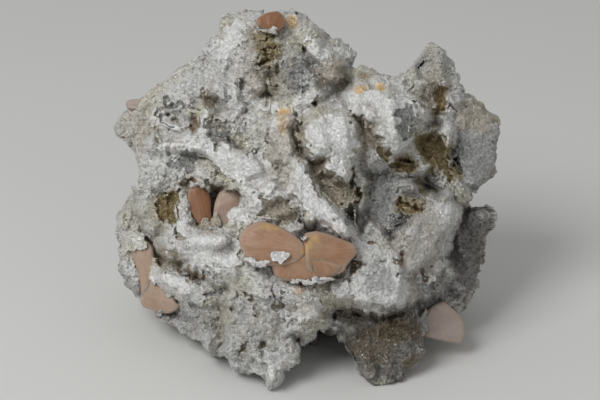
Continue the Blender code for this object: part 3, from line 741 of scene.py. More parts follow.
def small_blades(count):
    place, normal, _ = strewn(*ground, TRIES * count)
    spots = to_grid(place)
    on_plate = np.max([into_outline(spots, outline) for _, _, outline in PLATES], axis=0) > 0
    in_window = np.max([into_outline(spots, outline) for _, _, outline in WINDOWS], axis=0) > -2
    seen = normal[:, 2] > -0.1
    chance = np.select([~seen, in_window, on_plate], [BEHIND, IN_WINDOW, ON_PLATE], 1.0)
    stays = rng.random(len(place)) < chance
    place, normal = place[stays][:count], normal[stays][:count]
    count = len(place)
    heading = 4 * math.pi * smooth_noise(place, PARENT_SIZE, 5) + rng.normal(0, 0.45, count)
    side = unit_vectors(np.cross(normal, rng.normal(0, 0.2, (count, 3)) + [0.2, 1.0, 0.1]))
    across = np.cross(normal, side)
    along = side * np.cos(heading)[:, None] + across * np.sin(heading)[:, None]
    upright = unit_vectors(normal + rng.normal(0, 0.35, (count, 3)))
    size = rng.gamma(3.0, 0.28, count).clip(0.3, 1.8)
    half_thick = rng.uniform(0.4, 0.65, count)
    half_long, half_high = 1.5 * size + 0.5, 0.8 * size + 0.7
    return blades(place + normal * 0.1, along, upright, half_long, half_high, half_thick, 0.35)


# %% [markdown]
# A few holes go deeper than a window, such as the gap beside the wing and the one over the foot.
# Each is a blade-shaped cutter from one grid place to another, taken out with a Boolean.

# %% Deep holes
# From and to on the grid, half width and depth in mm
DEEP_HOLES = table("""
    212,171,224,175,0.7,4 192,120,197,131,1.1,4 451,150,459,165,1.1,14 296,124,300,134,0.8,5
    324,160,321,168,0.6,5 396,158,412,162,1,4.5 330,312,336,318,0.8,5 352,310,402,312,2.4,7
    300,145,304,158,0.8,4 226,142,230,141,0.7,4 356,188,359,198,1,3.5
""", 6)
HOLE_RAGGED = 0.15


def hole_cutters():
    start, end, half_long = seats(DEEP_HOLES)
    half_wide, deep = DEEP_HOLES[:, 4:].T
    sight = unit_vectors(EYE - start)
    half_long = half_long + 0.5 * half_wide
    return blades((start + end) / 2, end - start, sight, half_long, deep, half_wide, HOLE_RAGGED)


def cut(points, faces, cutter, operation="DIFFERENCE", numbers=()):
    """The skin with a closed cutter taken out, or what lies in it, by the solver for closed meshes."""
    tool = add_object("cutter", mesh_of("cutter", *cutter))
    how = {"operation": operation, "solver": "MANIFOLD", "object": tool}
    result = baked(points, faces, ("BOOLEAN", how), numbers=numbers)
    bpy.data.objects.remove(tool)
    return result


# %% [markdown]
# Fusing re-skins all the overlapping shapes at once. The blades shut in some bubbles as they
# overlap, so only the largest skin is kept, found by spreading labels along the edges.

# %% One skin
def edges_of(faces):
    ends = np.vstack([faces[:, [0, 1]], faces[:, [1, 2]], faces[:, [2, 0]]])
    return np.unique(np.sort(ends, axis=1), axis=0)


def largest_body(points, faces):
    """The connected skin with the most corners: labels sink to the lowest along every edge."""
    edges = edges_of(faces)
    label = np.arange(len(points))
    changed = True
    while changed:
        low = label[edges].min(axis=1)
        fresh = label.copy()
        for i in (0, 1):
            np.minimum.at(fresh, edges[:, i], low)
        fresh = fresh[fresh[fresh]]
        changed = np.any(fresh != label)
        label = fresh
    keep = label == np.bincount(label).argmax()
    number = np.cumsum(keep) - 1
    return points[keep], number[faces[keep[faces[:, 0]]]]


SMALL_BLADES = 1300
BLADE_VOXEL, HOLE_VOXEL = 0.6, 0.45
FINE_VOXEL = 0.53
skin = fused(*joined([ground, named_blades(), small_blades(SMALL_BLADES)]), BLADE_VOXEL)
skin = cut(*skin, fused(*hole_cutters(), HOLE_VOXEL))
skin = largest_body(*fused(*skin, FINE_VOXEL))
tell("fused skin:", len(skin[1]), "triangles")

# %% [markdown]
# The skin is far finer than its sides and its back need. A thinned copy serves them, cut in boxes
# and closed where it was cut. Thinning comes first, because it would tear a flat cut.

# %% Front and back
def kept(points, faces, low, high, numbers=()):
    """What lies in a box of the face frame, closed where it was cut."""
    low, high = np.array(low, float), np.array(high, float)
    box = np.array(list(np.ndindex(2, 2, 2))) * (high - low) + low
    sides = np.array([[0, 1, 3, 2], [4, 6, 7, 5], [0, 4, 5, 1], [2, 3, 7, 6], [0, 2, 6, 4], [1, 5, 7, 3]])
    triangles = np.vstack([sides[:, [0, 1, 2]], sides[:, [0, 2, 3]]])
    return cut(points, faces, (box, triangles), "INTERSECT", numbers)


# %% [markdown]
# The relief of the face is worked out on a fine map of its outermost depth, in cells a little
# smaller than a square, because every detail of it is seen from the front. Saw-toothed plates and
# windows are sharp steps in that map, ragged layers lie between them, and the druse is cell noise,
# half balls of several heights. Steps are ramped a little, so that walls show druse from the side
# too. Crystals grow best on edges, so how proud a cell stands of its smoothed surroundings scales
# them. How deep it lies below them is kept for painted shade in the recesses, and every window
# hands its floor colour, a stain or painted shade, on as a number on the points. The thinned skin
# sinks a little, so the face covers it.

# %% Relief
# Window floor colours: grey is partly painted shade, dark is painted shade
FLOORS = ("tan", "brown", "olive", "grey", "dark")
RISE_SHARE = 0.9
STEP_WIDTH = 1.2
FINE_CELL = 0.84
FINE_STEPS = 5
FINE_REACH = 2
STEEPEST, RAMP_ROUNDS = 1.1, 12
NEAR_ROUNDS, PROUD_ROUNDS, WIDE_ROUNDS = 3, 8, 30
SIDEWAYS = 1.8
SINK = 1.3
NOT_SEEN = -30.0
HALF_AT = 302
# Across, down and depth of the point inside the specimen where the face's wall ends
APEX = (300, 215, -45)
# Where the druse has grown over a crystal: across, down and half sizes in squares
GROWN_HIGH = 0.8
OVERGROWN = {
    "stilbite_bow_tie": table("280,256,12,5 254,264,16,4 316,281,26,3 305,236,4,3", 4),
    "stilbite_left_blade": table("133,242,12,9 155,272,5,14 172,294,10,4 150,314,10,2", 4),
    "stilbite_right_blade": table("422,318,5,18", 4),
    "stilbite_vug_large": table("207,224,5,7", 4),
    "stilbite_vug_small": table("216,224,4,10", 4),
    "stilbite_crown": table("268,31,10,3", 4),
    "stilbite_corner": table("143,105,5,6", 4),
}


def point_normals(points, faces):
    """The sum of the crossed edges of each triangle at its corners, made unit length."""
    corners = points[faces]
    normal = np.cross(corners[:, 1] - corners[:, 0], corners[:, 2] - corners[:, 0])
    total = np.stack([np.bincount(faces.ravel(), np.repeat(normal[:, i], 3), len(points))
                      for i in range(3)], axis=1)
    return total / np.maximum(np.linalg.norm(total, axis=1, keepdims=True), 1e-12)


def recess_depth(points, faces, rounds):
    """How far each point moves outwards when the skin is smoothed, in millimetres."""
    edges = edges_of(faces)
    count = np.bincount(edges.ravel(), minlength=len(points)).clip(1)
    smooth = points.copy()
    for _ in range(rounds):
        total = np.stack([np.bincount(edges[:, 0], smooth[edges[:, 1], i], len(points))
                          + np.bincount(edges[:, 1], smooth[edges[:, 0], i], len(points))
                          for i in range(3)], axis=1)
        smooth = total / count[:, None]
    return np.sum((smooth - points) * point_normals(smooth, faces), axis=1)


def knob(points, size, salt, middle=0.4):
    """Half balls: the root of 1 - (distance / 0.75) squared, in cells, of several heights."""
    distance, number = cell_noise(points, size, salt)
    return np.sqrt(np.clip(1 - (distance / 0.75) ** 2, 0, 1)) * (0.5 + number) - middle


def above_floor(points):
    """What would hang below the floor is lifted straight up onto it."""
    above = to_row(points)[:, 2] / MM
    return points + np.clip(0.05 - above, 0, None)[:, None] * TURN[2]


def outermost(points, faces, cell):
    """A map of the greatest depth in every cell, from a small triangle of samples on each face."""
    shares = np.array([(i, j, FINE_STEPS - i - j) for i in range(FINE_STEPS + 1)
                       for j in range(FINE_STEPS + 1 - i)]) / FINE_STEPS
    corners = points[faces]
    facing = np.cross(corners[:, 1] - corners[:, 0], corners[:, 2] - corners[:, 0])[:, 2] > 0
    samples = np.einsum("sk,nkc->nsc", shares, corners[facing]).reshape(-1, 3)
    row, column = np.floor(to_grid(samples)[:, ::-1] / cell).astype(int).T
    depth = np.full([int(size / cell) + 1 for size in GRID_SIZE[::-1]], -np.inf)
    np.maximum.at(depth, (row, column), samples[:, 2])
    outside = np.isinf(spread(depth, FINE_REACH))
    near_outside = np.isfinite(spread(np.where(outside, 0.0, -np.inf), FINE_REACH))
    return np.where(near_outside & np.isinf(depth), -np.inf, closed_gaps(depth, FINE_REACH))


def steps_at(spots):
    """Height of plates and depth of windows at grid places, and how much of each is there."""
    height, deep = np.zeros(len(spots)), np.zeros(len(spots))
    shares = {name: np.zeros(len(spots)) for name in ("white", *FLOORS)}
    for rows, level, scale in ((PLATES, height, RISE_SHARE), (WINDOWS, deep, 1.0)):
        for size, colour, outline in rows:
            step = smooth_step(into_outline(spots, outline) / STEP_WIDTH + 0.5)
            shares[colour] = np.maximum(shares[colour], step)
            np.maximum(level, scale * size * step, out=level)
    plate = shares.pop("white") * (1 - np.max(list(shares.values()), axis=0))
    return height - deep, dict(plate=plate, **shares)


def islands(points, size, salt):
    """Ragged plateaus: a smooth noise with one of a third its size on it, cut off sharply at a half."""
    fine = smooth_noise(points, size / 3, salt + 1) - 0.5
    return smooth_step((smooth_noise(points, size, salt) + 0.5 * fine - 0.5) / 0.05 + 0.5)


def overgrown(depth, spots, shaken):
    """Depths raised over the crystals in the patches that druse has covered."""
    for name, outline, bed in beds(spots):
        over = into_outline(spots, outline) > -3
        for across, down, half_across, half_down in OVERGROWN[name]:
            away = np.hypot((shaken[:, 0] - across) / half_across, (shaken[:, 1] - down) / half_down)
            depth = np.where(over & (away < 1), np.maximum(depth, bed + PROUD + GROWN_HIGH), depth)
    return depth


def ramped(depth, steepest, rounds):
    """No cell lies more than the steepest drop below a neighbour, as far as the rounds reach."""
    for _ in range(rounds):
        depth = np.maximum(depth, spread(depth, 1) - steepest)
    return depth


def half_of(points, faces, numbers, inside, left):
    """One half of the face, closed by a wall from its edge to the point inside."""
    columns = spots_of(inside.shape, FINE_CELL)[:, 0].reshape(inside.shape)
    middle = columns[0, np.abs(columns[0] - HALF_AT).argmin()]
    faces, start, end = face_of(inside & ((columns <= middle) if left else (columns >= middle)))
    faces = np.vstack([faces, np.stack([end, start, np.full(len(start), len(points) - 1)], axis=1)])
    used = np.zeros(len(points), bool)
    used[faces] = True
    number = np.cumsum(used) - 1
    return points[used], number[faces], {name: values[used] for name, values in numbers.items()}


def fine_face(points, faces):
    """Points of the face map with all its relief, the point inside as the last, and its halves."""
    depth = outermost(points, faces, FINE_CELL)
    inside = np.isfinite(depth)
    spots = spots_of(depth.shape, FINE_CELL)
    flat = on_face(*spots.T)
    shaken = toothed(flat, spots)
    half_shaken = 0.5 * (spots + shaken)
    rise, numbers = steps_at(shaken)
    depth = np.where(inside, depth, NOT_SEEN) + rise.reshape(depth.shape)
    busy = 1 - 0.85 * numbers["plate"]
    patchy = 0.45 + 0.55 * smooth_step((smooth_noise(flat, 9.0, 85) - 0.35) / 0.3)
    layers = 0.8 * islands(flat, 3.6, 81) + 0.5 * islands(flat, 1.8, 84) - 0.65
    depth = ramped(depth + (busy * patchy * layers).reshape(depth.shape), STEEPEST, RAMP_ROUNDS)
    proud = np.clip((depth - blurred(depth, inside, PROUD_ROUNDS)) / 0.8, 0, 1).ravel()
    place = on_face(*spots.T, depth.ravel())
    druse = knob(place, 1.2, 11) * (0.34 + 0.30 * proud) * (1 - 0.4 * numbers["plate"])
    druse += knob(place, 0.8, 31) * (0.22 + 0.14 * proud)
    depth = cleared(depth.ravel() + druse, half_shaken, 1.5)
    depth = overgrown(depth, spots, half_shaken) + 0.5 * np.clip(druse, -0.2, 0.4)
    depth = depth.reshape(inside.shape)
    near, wide = blurred(depth, inside, NEAR_ROUNDS), blurred(depth, inside, WIDE_ROUNDS)
    # The recess number: how deep a cell lies below its smoothed surroundings, later painted shade
    numbers["recess"] = (0.6 * (wide - depth) + 2.2 * (near - depth)).ravel()
    place = on_face(*spots.T, depth.ravel())
    aside = [SIDEWAYS * (smooth_noise(place, 1.0, salt) - 0.5) for salt in (87, 89)]
    place = on_face(*(spots.T + aside), depth.ravel())
    points = above_floor(np.vstack([place, on_face(*APEX)]))
    numbers = {name: np.r_[values, 0.0] for name, values in numbers.items()}
    return [half_of(points, faces, numbers, inside, left) for left in (True, False)]


def sunk(points, faces):
    """The skin let back along the lines of sight, deeper behind the windows, and its numbers."""
    facing = smooth_step((point_normals(points, faces)[:, 2] - 0.1) / 0.4)
    spots = to_grid(points)
    rise, numbers = steps_at(spots)
    room = np.minimum(cleared(points[:, 2], spots) - points[:, 2], 0)
    drop = (np.minimum(rise, 0) - SINK) * facing + room - SINK * (room < 0)
    points = points + unit_vectors(EYE - points) * drop[:, None]
    height = knob(points, 1.5, 11) * 0.4 + knob(points, 0.9, 31) * 0.2
    height += knob(points, 3.4, 21, 0.5) * 0.8 * (1 - facing)
    points = above_floor(points + point_normals(points, faces) * height[:, None])
    numbers = {name: values * facing for name, values in numbers.items()}
    # The recess number: depth below the smoothed skin, which the material turns into painted shade
    numbers["recess"] = recess_depth(points, faces, 10)
    return points, faces, numbers


# %% [markdown]
# Iron has left yellow, tan or olive stains in some places. The grey patches are partly the quartz's
# own grey and partly painted shade over the right side and the bottom. The nearly black ones are
# painted shade and shadow, under the overhanging lower plate, on the shelf behind it and on the
# shaded mass at the lower right. Each is a soft-edged patch by name, its edge broken by noise, and
# is kept as a number on the points, which the material turns into colour.

# %% Stains and painted shade
# Across, down, depth, half sizes across, up and deep in mm, and how strong
STAINS_AND_SHADE = {
    "yellow": table("""
        283,110,5,3.4,2.7,8,1 359,88,-1,2.5,2.1,8,0.9 380,85,-1,1.9,1.7,8,0.9 292,18,-9,3.2,3.6,9,0.8
        270,226,18,5,1.6,5,0.5 315,238,18,1.2,1.4,6,0.8 309,244,18,1.5,1.5,6,0.8 304,251,18,1.2,1.4,6,0.7
        301,290,10,3,2,8,0.35 283,122,5,2,4,8,0.4
    """, 7),
    "tan": table("""
        338,74,-8,7,6,12,0.9 262,76,-5,8,10,12,0.6 284,152,4,6,15,10,0.6 134,128,-18,11,8,14,0.5
        476,116,-22,9,6,12,0.8 363,75,-8,4,2.6,9,0.8 302,140,0,2.6,9,9,1 322,170,-4,6,6,12,1
        335,192,-4,8,7,14,1 276,212,2,9,7,9,0.8 195,125,-4,2.4,4,6,1 206,97,-6,4,4,7,0.6
        366,132,-4,7,9,10,0.9 436,96,-14,6,8,10,0.6 400,252,-2,10,9,10,0.45 424,238,-4,8,13,10,0.4
        216,122,-4,4,4,7,0.5 166,210,-12,7,8,10,0.9 166,256,-12,7,6,10,0.6 258,40,-8,6,6,10,0.6
        316,300,6,9,9,12,0.5 212,225,-8,6,4,9,0.8 345,300,4,6,5,9,0.6
    """, 7),
    "olive": table("""
        267,50,-9,5,5.5,7,0.9 262,38,-9,4.5,3,7,0.8 172,200,-12,4.5,4,9,0.8 430,150,-18,7.5,8,12,1
        452,174,-22,3.5,3.5,9,0.9 394,330,-10,9,6,12,0.9 372,346,-8,8,7,12,0.6 412,361,-6,5,2.6,9,0.8
        402,163,-10,6,3.6,9,0.8 188,179,-12,4.5,2.4,8,0.7 424,186,-12,3,4,8,0.8 385,152,-6,3,5,8,0.7
        360,194,-6,2.6,4.4,7,0.7 410,205,-8,6,4,9,0.7 364,310,-12,13,4,14,0.7 362,75,-8,2,1.4,8,0.7
        440,98,-16,2.4,5,8,0.6
    """, 7),
    # Painted shade and shadow, nearly black: under the overhanging lower plate, on the shelf behind it and on
    # the shaded mass at the lower right
    "dark": table("""
        464,250,-26,11,20,14,0.5 372,314,-8,17,3.6,14,0.85 385,345,-6,16,16,18,0.7 318,330,-22,12,6,12,0.6
        446,290,-14,9,7,12,0.3 424,320,-14,3,8,12,0.4
    """, 7),
    # Partly the quartz's own grey, partly painted shade over the right side and the bottom
    "grey": table("""
        430,250,-10,38,48,40,0.3 480,150,-22,12,17,14,0.8 295,76,-8,6,9,10,0.6 388,194,-10,15,14,16,0.65
        464,250,-28,10,20,14,1 462,244,-26,7,9,9,0.9 444,290,-12,10,8,14,0.9 382,345,-6,16,16,18,1
        305,338,-28,10,5,12,1 196,320,-12,15,6,14,0.6 127,285,-30,4,8,10,0.7 406,122,-2,4,7,7,0.45
        480,152,-22,10,13,12,0.5 436,70,-16,8,10,12,0.5 240,330,4,20,14,20,0.4 400,165,-14,10,6,12,0.8
        330,320,-20,10,6,14,0.9 218,135,-4,8,5,8,0.3 380,222,-6,8,6,9,0.5 376,282,6,9,8,9,0.8
        478,160,-20,8,12,9,0.9 424,238,-2,9,12,10,0.55 402,262,0,8,8,10,0.5 255,320,6,12,10,12,0.35
        250,297,2,5,5,7,0.4 140,214,-24,5,9,12,0.3
    """, 7),
}
THINNED = 0.2
FAR, BACK_AT = 200, -42
LEFT_TO, RIGHT_FROM = -19, 17


def stain_or_shade_of(points, patches):
    """From 0 to 1: how far inside a patch a point lies, the patch's edge broken by noise."""
    most = np.zeros(len(points))
    broken = 0.55 * (smooth_noise(points, 2.6, 51) - 0.5) + 0.35 * (smooth_noise(points, 0.9, 52) - 0.5)
    for across, down, out, *half, strength in patches:
        away = np.linalg.norm((points - on_face(across, down, out)) / half, axis=1)
        most = np.maximum(most, strength * smooth_step((1.15 + broken - away) / 0.55))
    return most


def stained_and_shaded(points, faces, numbers):
    for name, patches in STAINS_AND_SHADE.items():
        numbers[name] = np.maximum(numbers.get(name, 0), stain_or_shade_of(points, patches))
    return points, faces, numbers


def part_of(skin, low, high):
    """A closed part of a skin with its numbers. Corners made by the cut take their neighbours' mean."""
    points, faces, numbers = skin
    points, faces, numbers = kept(points, faces, low, high, {**numbers, "known": np.ones(len(points))})
    edges = edges_of(faces)
    known = numbers.pop("known")

    def around(values):
        return sum(np.bincount(edges[:, i], values[edges[:, 1 - i]], len(points)) for i in (0, 1))

    count = around(known).clip(1)
    return points, faces, {name: np.where(known > 0.5, values, around(values * known) / count)
                           for name, values in numbers.items()}


HALVES = [stained_and_shaded(*half) for half in fine_face(*skin)]
thin_skin = stained_and_shaded(*sunk(*baked(*skin, ("DECIMATE", {"ratio": THINNED}))))
PARTS = {
    "left": part_of(thin_skin, (-FAR, -FAR, BACK_AT), (LEFT_TO, FAR, FAR)),
    "middle": part_of(thin_skin, (LEFT_TO, -FAR, BACK_AT), (RIGHT_FROM, FAR, FAR)),
    "right": part_of(thin_skin, (RIGHT_FROM, -FAR, BACK_AT), (FAR, FAR, FAR)),
    "back": part_of(thin_skin, (-FAR, -FAR, -FAR), (FAR, FAR, BACK_AT)),
}
tell("halves of the face:", [len(half[1]) for half in HALVES], "triangles, parts of the skin:",
     {name: len(part[1]) for name, part in PARTS.items()})

# %% [markdown]
# Druse grains: the sugar on everything is tiny quartz points packed side by side. One grain is a
# low five-sided tip, eight triangles in all, sunk a third of its width into the skin. Its facets
# catch the light one by one, which no bump map does.

# %% Quartz points
SIDES = 5
CORNER = np.arange(SIDES)
RING_ANGLES = CORNER * math.tau / SIDES
POINT_UNIT = np.vstack([np.stack([np.cos(RING_ANGLES), np.sin(RING_ANGLES), 0 * RING_ANGLES], axis=1),
                        [[0, 0, 1]]])
POINT_FACES = np.vstack([np.stack([CORNER, (CORNER + 1) % SIDES, np.full(SIDES, SIDES)], axis=1),
                         np.stack([0 * CORNER[2:], CORNER[2:], CORNER[1:-1]], axis=1)])
SUNK_SHARE = 0.35
TIPPED = 0.35
LOWEST_GRAIN = 1.1 * MM


def quartz_points(place, normal, width, tall):
    """Tips standing about the normals, each tilted and spun at random."""
    count = len(place)
    axis = unit_vectors(normal + rng.normal(0, TIPPED, (count, 3)))
    side = unit_vectors(np.cross(axis, rng.normal(0, 1, (count, 3))))
    axes = np.stack([side * width[:, None], np.cross(axis, side) * width[:, None],
                     axis * tall[:, None]], axis=1)
    unit = np.broadcast_to(POINT_UNIT, (count, len(POINT_UNIT), 3))
    return many(unit, POINT_FACES, place - axis * (SUNK_SHARE * width)[:, None], axes)


def grown(skin, count, coarse, weight_of):
    """Grains over a skin, by a weight for each facing, smaller on the plates."""
    points, faces, numbers = skin
    corners = points[faces]
    crossed = np.cross(corners[:, 1] - corners[:, 0], corners[:, 2] - corners[:, 0])
    facing = unit_vectors(crossed + 1e-12)[:, 2]
    place, normal, picked = strewn(points, faces, count, weight_of(facing))
    above = to_row(place)[:, 2] > LOWEST_GRAIN
    place, normal, picked = place[above], normal[above], picked[above]
    numbers = {name: values[faces[picked]].mean(axis=1) for name, values in numbers.items()}
    width = rng.gamma(5.0, 0.06, len(place)).clip(0.15, 0.7) * coarse
    width = width * (1 - 0.22 * numbers["plate"] + 0.2 * numbers["grey"])
    tall = width * rng.uniform(0.75, 1.3, len(place))
    numbers = {name: np.repeat(values, len(POINT_UNIT)) for name, values in numbers.items()}
    return (*quartz_points(place, normal, width, tall), numbers)


def dress(name, shape, material, node):
    """A finished piece: a mesh with its numbers and material, riding on the body, in a node's stead."""
    mesh = mesh_of(name, *shape)
    mesh.materials.append(material)
    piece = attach(add_object(name, mesh), "root")
    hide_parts(node)
    return piece


# %% [markdown]
# Materials are built from nodes. A few helpers keep the wiring short: one feeds a node's inputs by
# name, and others add the nodes that come again and again, start a shader group or a material.

# %% Node helpers
BUMP_DEPTH = 0.3 * MM


def feed(tree, node, inputs):
    """Inputs by name, with _ for a space, or as i and a number: a value is set, an output linked."""
    for name, value in inputs.items():
        socket = node.inputs[int(name[1:]) if name[1:].isdigit() else name.replace("_", " ")]
        if isinstance(value, bpy.types.NodeSocket):
            tree.links.new(value, socket)
        else:
            socket.default_value = value
    return node


def add_node(tree, kind, **inputs):
    return feed(tree, tree.nodes.new(kind), inputs)


def add_math(tree, operation, a, b):
    node = add_node(tree, "ShaderNodeMath", i0=a, i1=b)
    node.operation = operation
    return node.outputs[0]


def add_mix(tree, share, first, second):
    node = tree.nodes.new("ShaderNodeMix")
    node.data_type = "RGBA"
    return feed(tree, node, {"i0": share, "i6": first, "i7": second}).outputs[2]


def add_ramp(tree, factor, low, high):
    """A smooth step from 0 at low to 1 at high."""
    node = add_node(tree, "ShaderNodeMapRange", Value=factor, From_Min=low, From_Max=high)
    node.interpolation_type = "SMOOTHSTEP"
    return node.outputs[0]


def object_place(tree):
    return tree.nodes.new("ShaderNodeTexCoord").outputs["Object"]


def add_noise(tree, place, scale, detail):
    return add_node(tree, "ShaderNodeTexNoise", Vector=place, Scale=scale, Detail=detail).outputs[0]


def number_on_points(tree, name):
    node = tree.nodes.new("ShaderNodeAttribute")
    node.attribute_name = name
    return node.outputs["Fac"]


def new_group(name, inputs, outputs):
    """A shader group with named sockets: {name: (type, default)} in, {name: type} out."""
    group = bpy.data.node_groups.new(name, "ShaderNodeTree")
    for socket, (kind, default) in inputs.items():
        made = group.interface.new_socket(socket, in_out="INPUT", socket_type=kind)
        made.default_value = default
    for socket, kind in outputs.items():
        group.interface.new_socket(socket, in_out="OUTPUT", socket_type=kind)
    return group, group.nodes.new("NodeGroupInput"), group.nodes.new("NodeGroupOutput")


def new_material(name, **principled):
    material = bpy.data.materials.new(name)
    material.use_nodes = True
    tree = material.node_tree
    return material, tree, feed(tree, tree.nodes["Principled BSDF"], principled)


# %% [markdown]
# Sugar is an effect that the chalcedony and the stilbite share: grain by grain, the surface is a
# little lighter or darker and a little smoother or rougher. A Voronoi texture gives each grain
# its number, and the group puts out a colour, a roughness and a height for a Bump node.

# %% The sugar group
NUMBER, COLOUR = "NodeSocketFloat", "NodeSocketColor"
SUGAR, sugar_in, sugar_out = new_group(
    "sugar", {"Color": (COLOUR, (1, 1, 1, 1)), "Grains per Metre": (NUMBER, 1100.0),
              "Contrast": (NUMBER, 0.26), "Smoothest": (NUMBER, 0.1), "Roughest": (NUMBER, 0.7)},
    {"Color": COLOUR, "Roughness": NUMBER, "Height": NUMBER})
grain = add_node(SUGAR, "ShaderNodeTexVoronoi", Vector=object_place(SUGAR),
                 Scale=sugar_in.outputs["Grains per Metre"])
number = add_node(SUGAR, "ShaderNodeSeparateColor", i0=grain.outputs["Color"])
swing = add_math(SUGAR, "MULTIPLY", add_math(SUGAR, "SUBTRACT", number.outputs[0], 0.5),
                 sugar_in.outputs["Contrast"])
scaled = add_node(SUGAR, "ShaderNodeVectorMath", i0=sugar_in.outputs["Color"],
                  i1=add_math(SUGAR, "ADD", 1.0, swing))
scaled.operation = "MULTIPLY"
rough = add_node(SUGAR, "ShaderNodeMapRange", Value=number.outputs[1],
                 To_Min=sugar_in.outputs["Smoothest"], To_Max=sugar_in.outputs["Roughest"])
feed(SUGAR, sugar_out, {"Color": scaled.outputs[0], "Roughness": rough.outputs[0],
                        "Height": add_math(SUGAR, "SUBTRACT", 1.0, grain.outputs["Distance"])})


def sugared(tree, shader, colour, height_from, strength, **settings):
    """Colour and roughness by way of the sugar group, and a bump of the height made from its own."""
    sugar = tree.nodes.new("ShaderNodeGroup")
    sugar.node_tree = SUGAR
    feed(tree, sugar, {"Color": colour, **settings})
    bump = add_node(tree, "ShaderNodeBump", Height=height_from(sugar.outputs["Height"]),
                    Strength=strength, Distance=BUMP_DEPTH)
    feed(tree, shader, {"Base_Color": sugar.outputs["Color"], "Roughness": sugar.outputs["Roughness"],
                        "Normal": bump.outputs[0]})


# %% [markdown]
# Chalcedony under druse is milky white on the ridges and pale green-tan in broad clouds, and its
# recesses are darkened to tan by painted shade. The stains and the patches of painted shade come in
# by the numbers on the points. It is a glassy stone, so the index of refraction is quartz's 1.54,
# and a little light spreads inside it.

# %% The chalcedony material
MILKY, GREENISH, WHITE = (0.54, 0.54, 0.53, 1), (0.48, 0.465, 0.38, 1), (0.64, 0.64, 0.63, 1)
# The recess colour is painted shade, a darker tan
CLEARER, RECESS_SHADE = (0.46, 0.455, 0.44, 1), (0.30, 0.27, 0.23, 1)
# grey is partly the quartz's own colour and partly painted shade; dark is painted shade
STAIN_AND_SHADE_COLOURS = {
    "grey": (0.21, 0.21, 0.205, 1), "tan": (0.33, 0.285, 0.215, 1), "brown": (0.20, 0.13, 0.075, 1),
    "olive": (0.20, 0.145, 0.045, 1), "dark": (0.06, 0.045, 0.035, 1), "yellow": (0.66, 0.43, 0.17, 1),
}


def make_chalcedony(name, spread_inside):
    material, tree, shader = new_material(name, IOR=1.54, Subsurface_Weight=spread_inside,
                                          Subsurface_Scale=1.2 * MM, Subsurface_Radius=(1.0, 0.95, 0.85))
    place = object_place(tree)
    colour = add_mix(tree, add_ramp(tree, add_noise(tree, place, 60.0, 3.0), 0.42, 0.68), MILKY, GREENISH)
    colour = add_mix(tree, number_on_points(tree, "plate"), colour, WHITE)
    patch = add_ramp(tree, add_noise(tree, place, 240.0, 3.0), 0.5, 0.75)
    colour = add_mix(tree, add_math(tree, "MULTIPLY", patch, 0.3), colour, CLEARER)
    # Painted shade: the deeper a point lies below its smoothed surroundings, the more it takes a darker tan
    depth = add_ramp(tree, number_on_points(tree, "recess"), 0.1, 1.2)
    colour = add_mix(tree, add_math(tree, "MULTIPLY", depth, 0.35), colour, RECESS_SHADE)
    # Stains, and painted shade from the grey and dark patches, mixed in by their numbers
    for stain_or_shade, tint in STAIN_AND_SHADE_COLOURS.items():
        share = add_math(tree, "MULTIPLY", number_on_points(tree, stain_or_shade), 0.85)
        colour = add_mix(tree, share, colour, tint)
    sugared(tree, shader, colour, lambda height: height, 0.35)
    return material


def on_the_face(facing):
    """Few grains on the steps, which are steep, and none on the wall inside."""
    return np.where(facing > 0, facing.clip(0.12, 1), 0.0)


def on_the_sides(facing):
    """None where the face covers the skin."""
    return np.where(facing > 0.45, 0.0, 1.0)


def dress_stone(name, shape, count, coarse, weight_of):
    """A part of the stone and its grains, each a piece of its own."""
    grains = grown(shape, count // (1), coarse, weight_of)
    dress("chalcedony_" + name, shape, chalcedony, "chalcedony")
    dress("druse_" + name, grains, druse_chalcedony, "chalcedony")
    tell(name, len(shape[1]), "and", len(grains[1]), "triangles")


SIDE_GRAINS = {"left": 7000, "middle": 5000, "right": 7000, "back": 8000}
FACE_GRAINS = 9000
SIDE_COARSE, FACE_COARSE = 1.4, 1.0
chalcedony = make_chalcedony("chalcedony_crust", 0.8)
druse_chalcedony = make_chalcedony("druse_chalcedony", 0.0)
for part_name, part in PARTS.items():
    dress_stone(part_name, part, SIDE_GRAINS[part_name], SIDE_COARSE, on_the_sides)
for half_name, half in zip(("face_left", "face_right"), HALVES):
    dress_stone(half_name, half, FACE_GRAINS, FACE_COARSE, on_the_face)

# %% [markdown]
# Stilbite grows as sheaves: many thin blades packed side by side, spreading from a waist like a
# bundle of straw. One sheaf is its outline carried from a rounded rim up to a nearly flat face,
# in rings. A soft ridge tips the face's lower part down, and fine ribs fan out from the waist.

# %% Sheaves
SHEAF_ROWS, SHEAF_AROUND = 24, 120
CORNER_CUT = 0.15
RIB, WAVE = 0.06, 0.30


def smooth_loop(outline, out, around):
    """The outline with its corners cut, read at even steps along its length."""
    loop = on_face(*outline.T, out)[:, :2]
    after = np.roll(loop, -1, axis=0)
    near, far = 1 - CORNER_CUT, CORNER_CUT
    loop = np.stack([near * loop + far * after, far * loop + near * after], axis=1).reshape(-1, 2)
    closed = np.vstack([loop, loop[:1]])
    length = np.r_[0, np.cumsum(np.linalg.norm(np.diff(closed, axis=0), axis=1))]
    along = np.linspace(0, length[-1], around, endpoint=False)
    return np.stack([np.interp(along, length, closed[:, i]) for i in (0, 1)], axis=1)


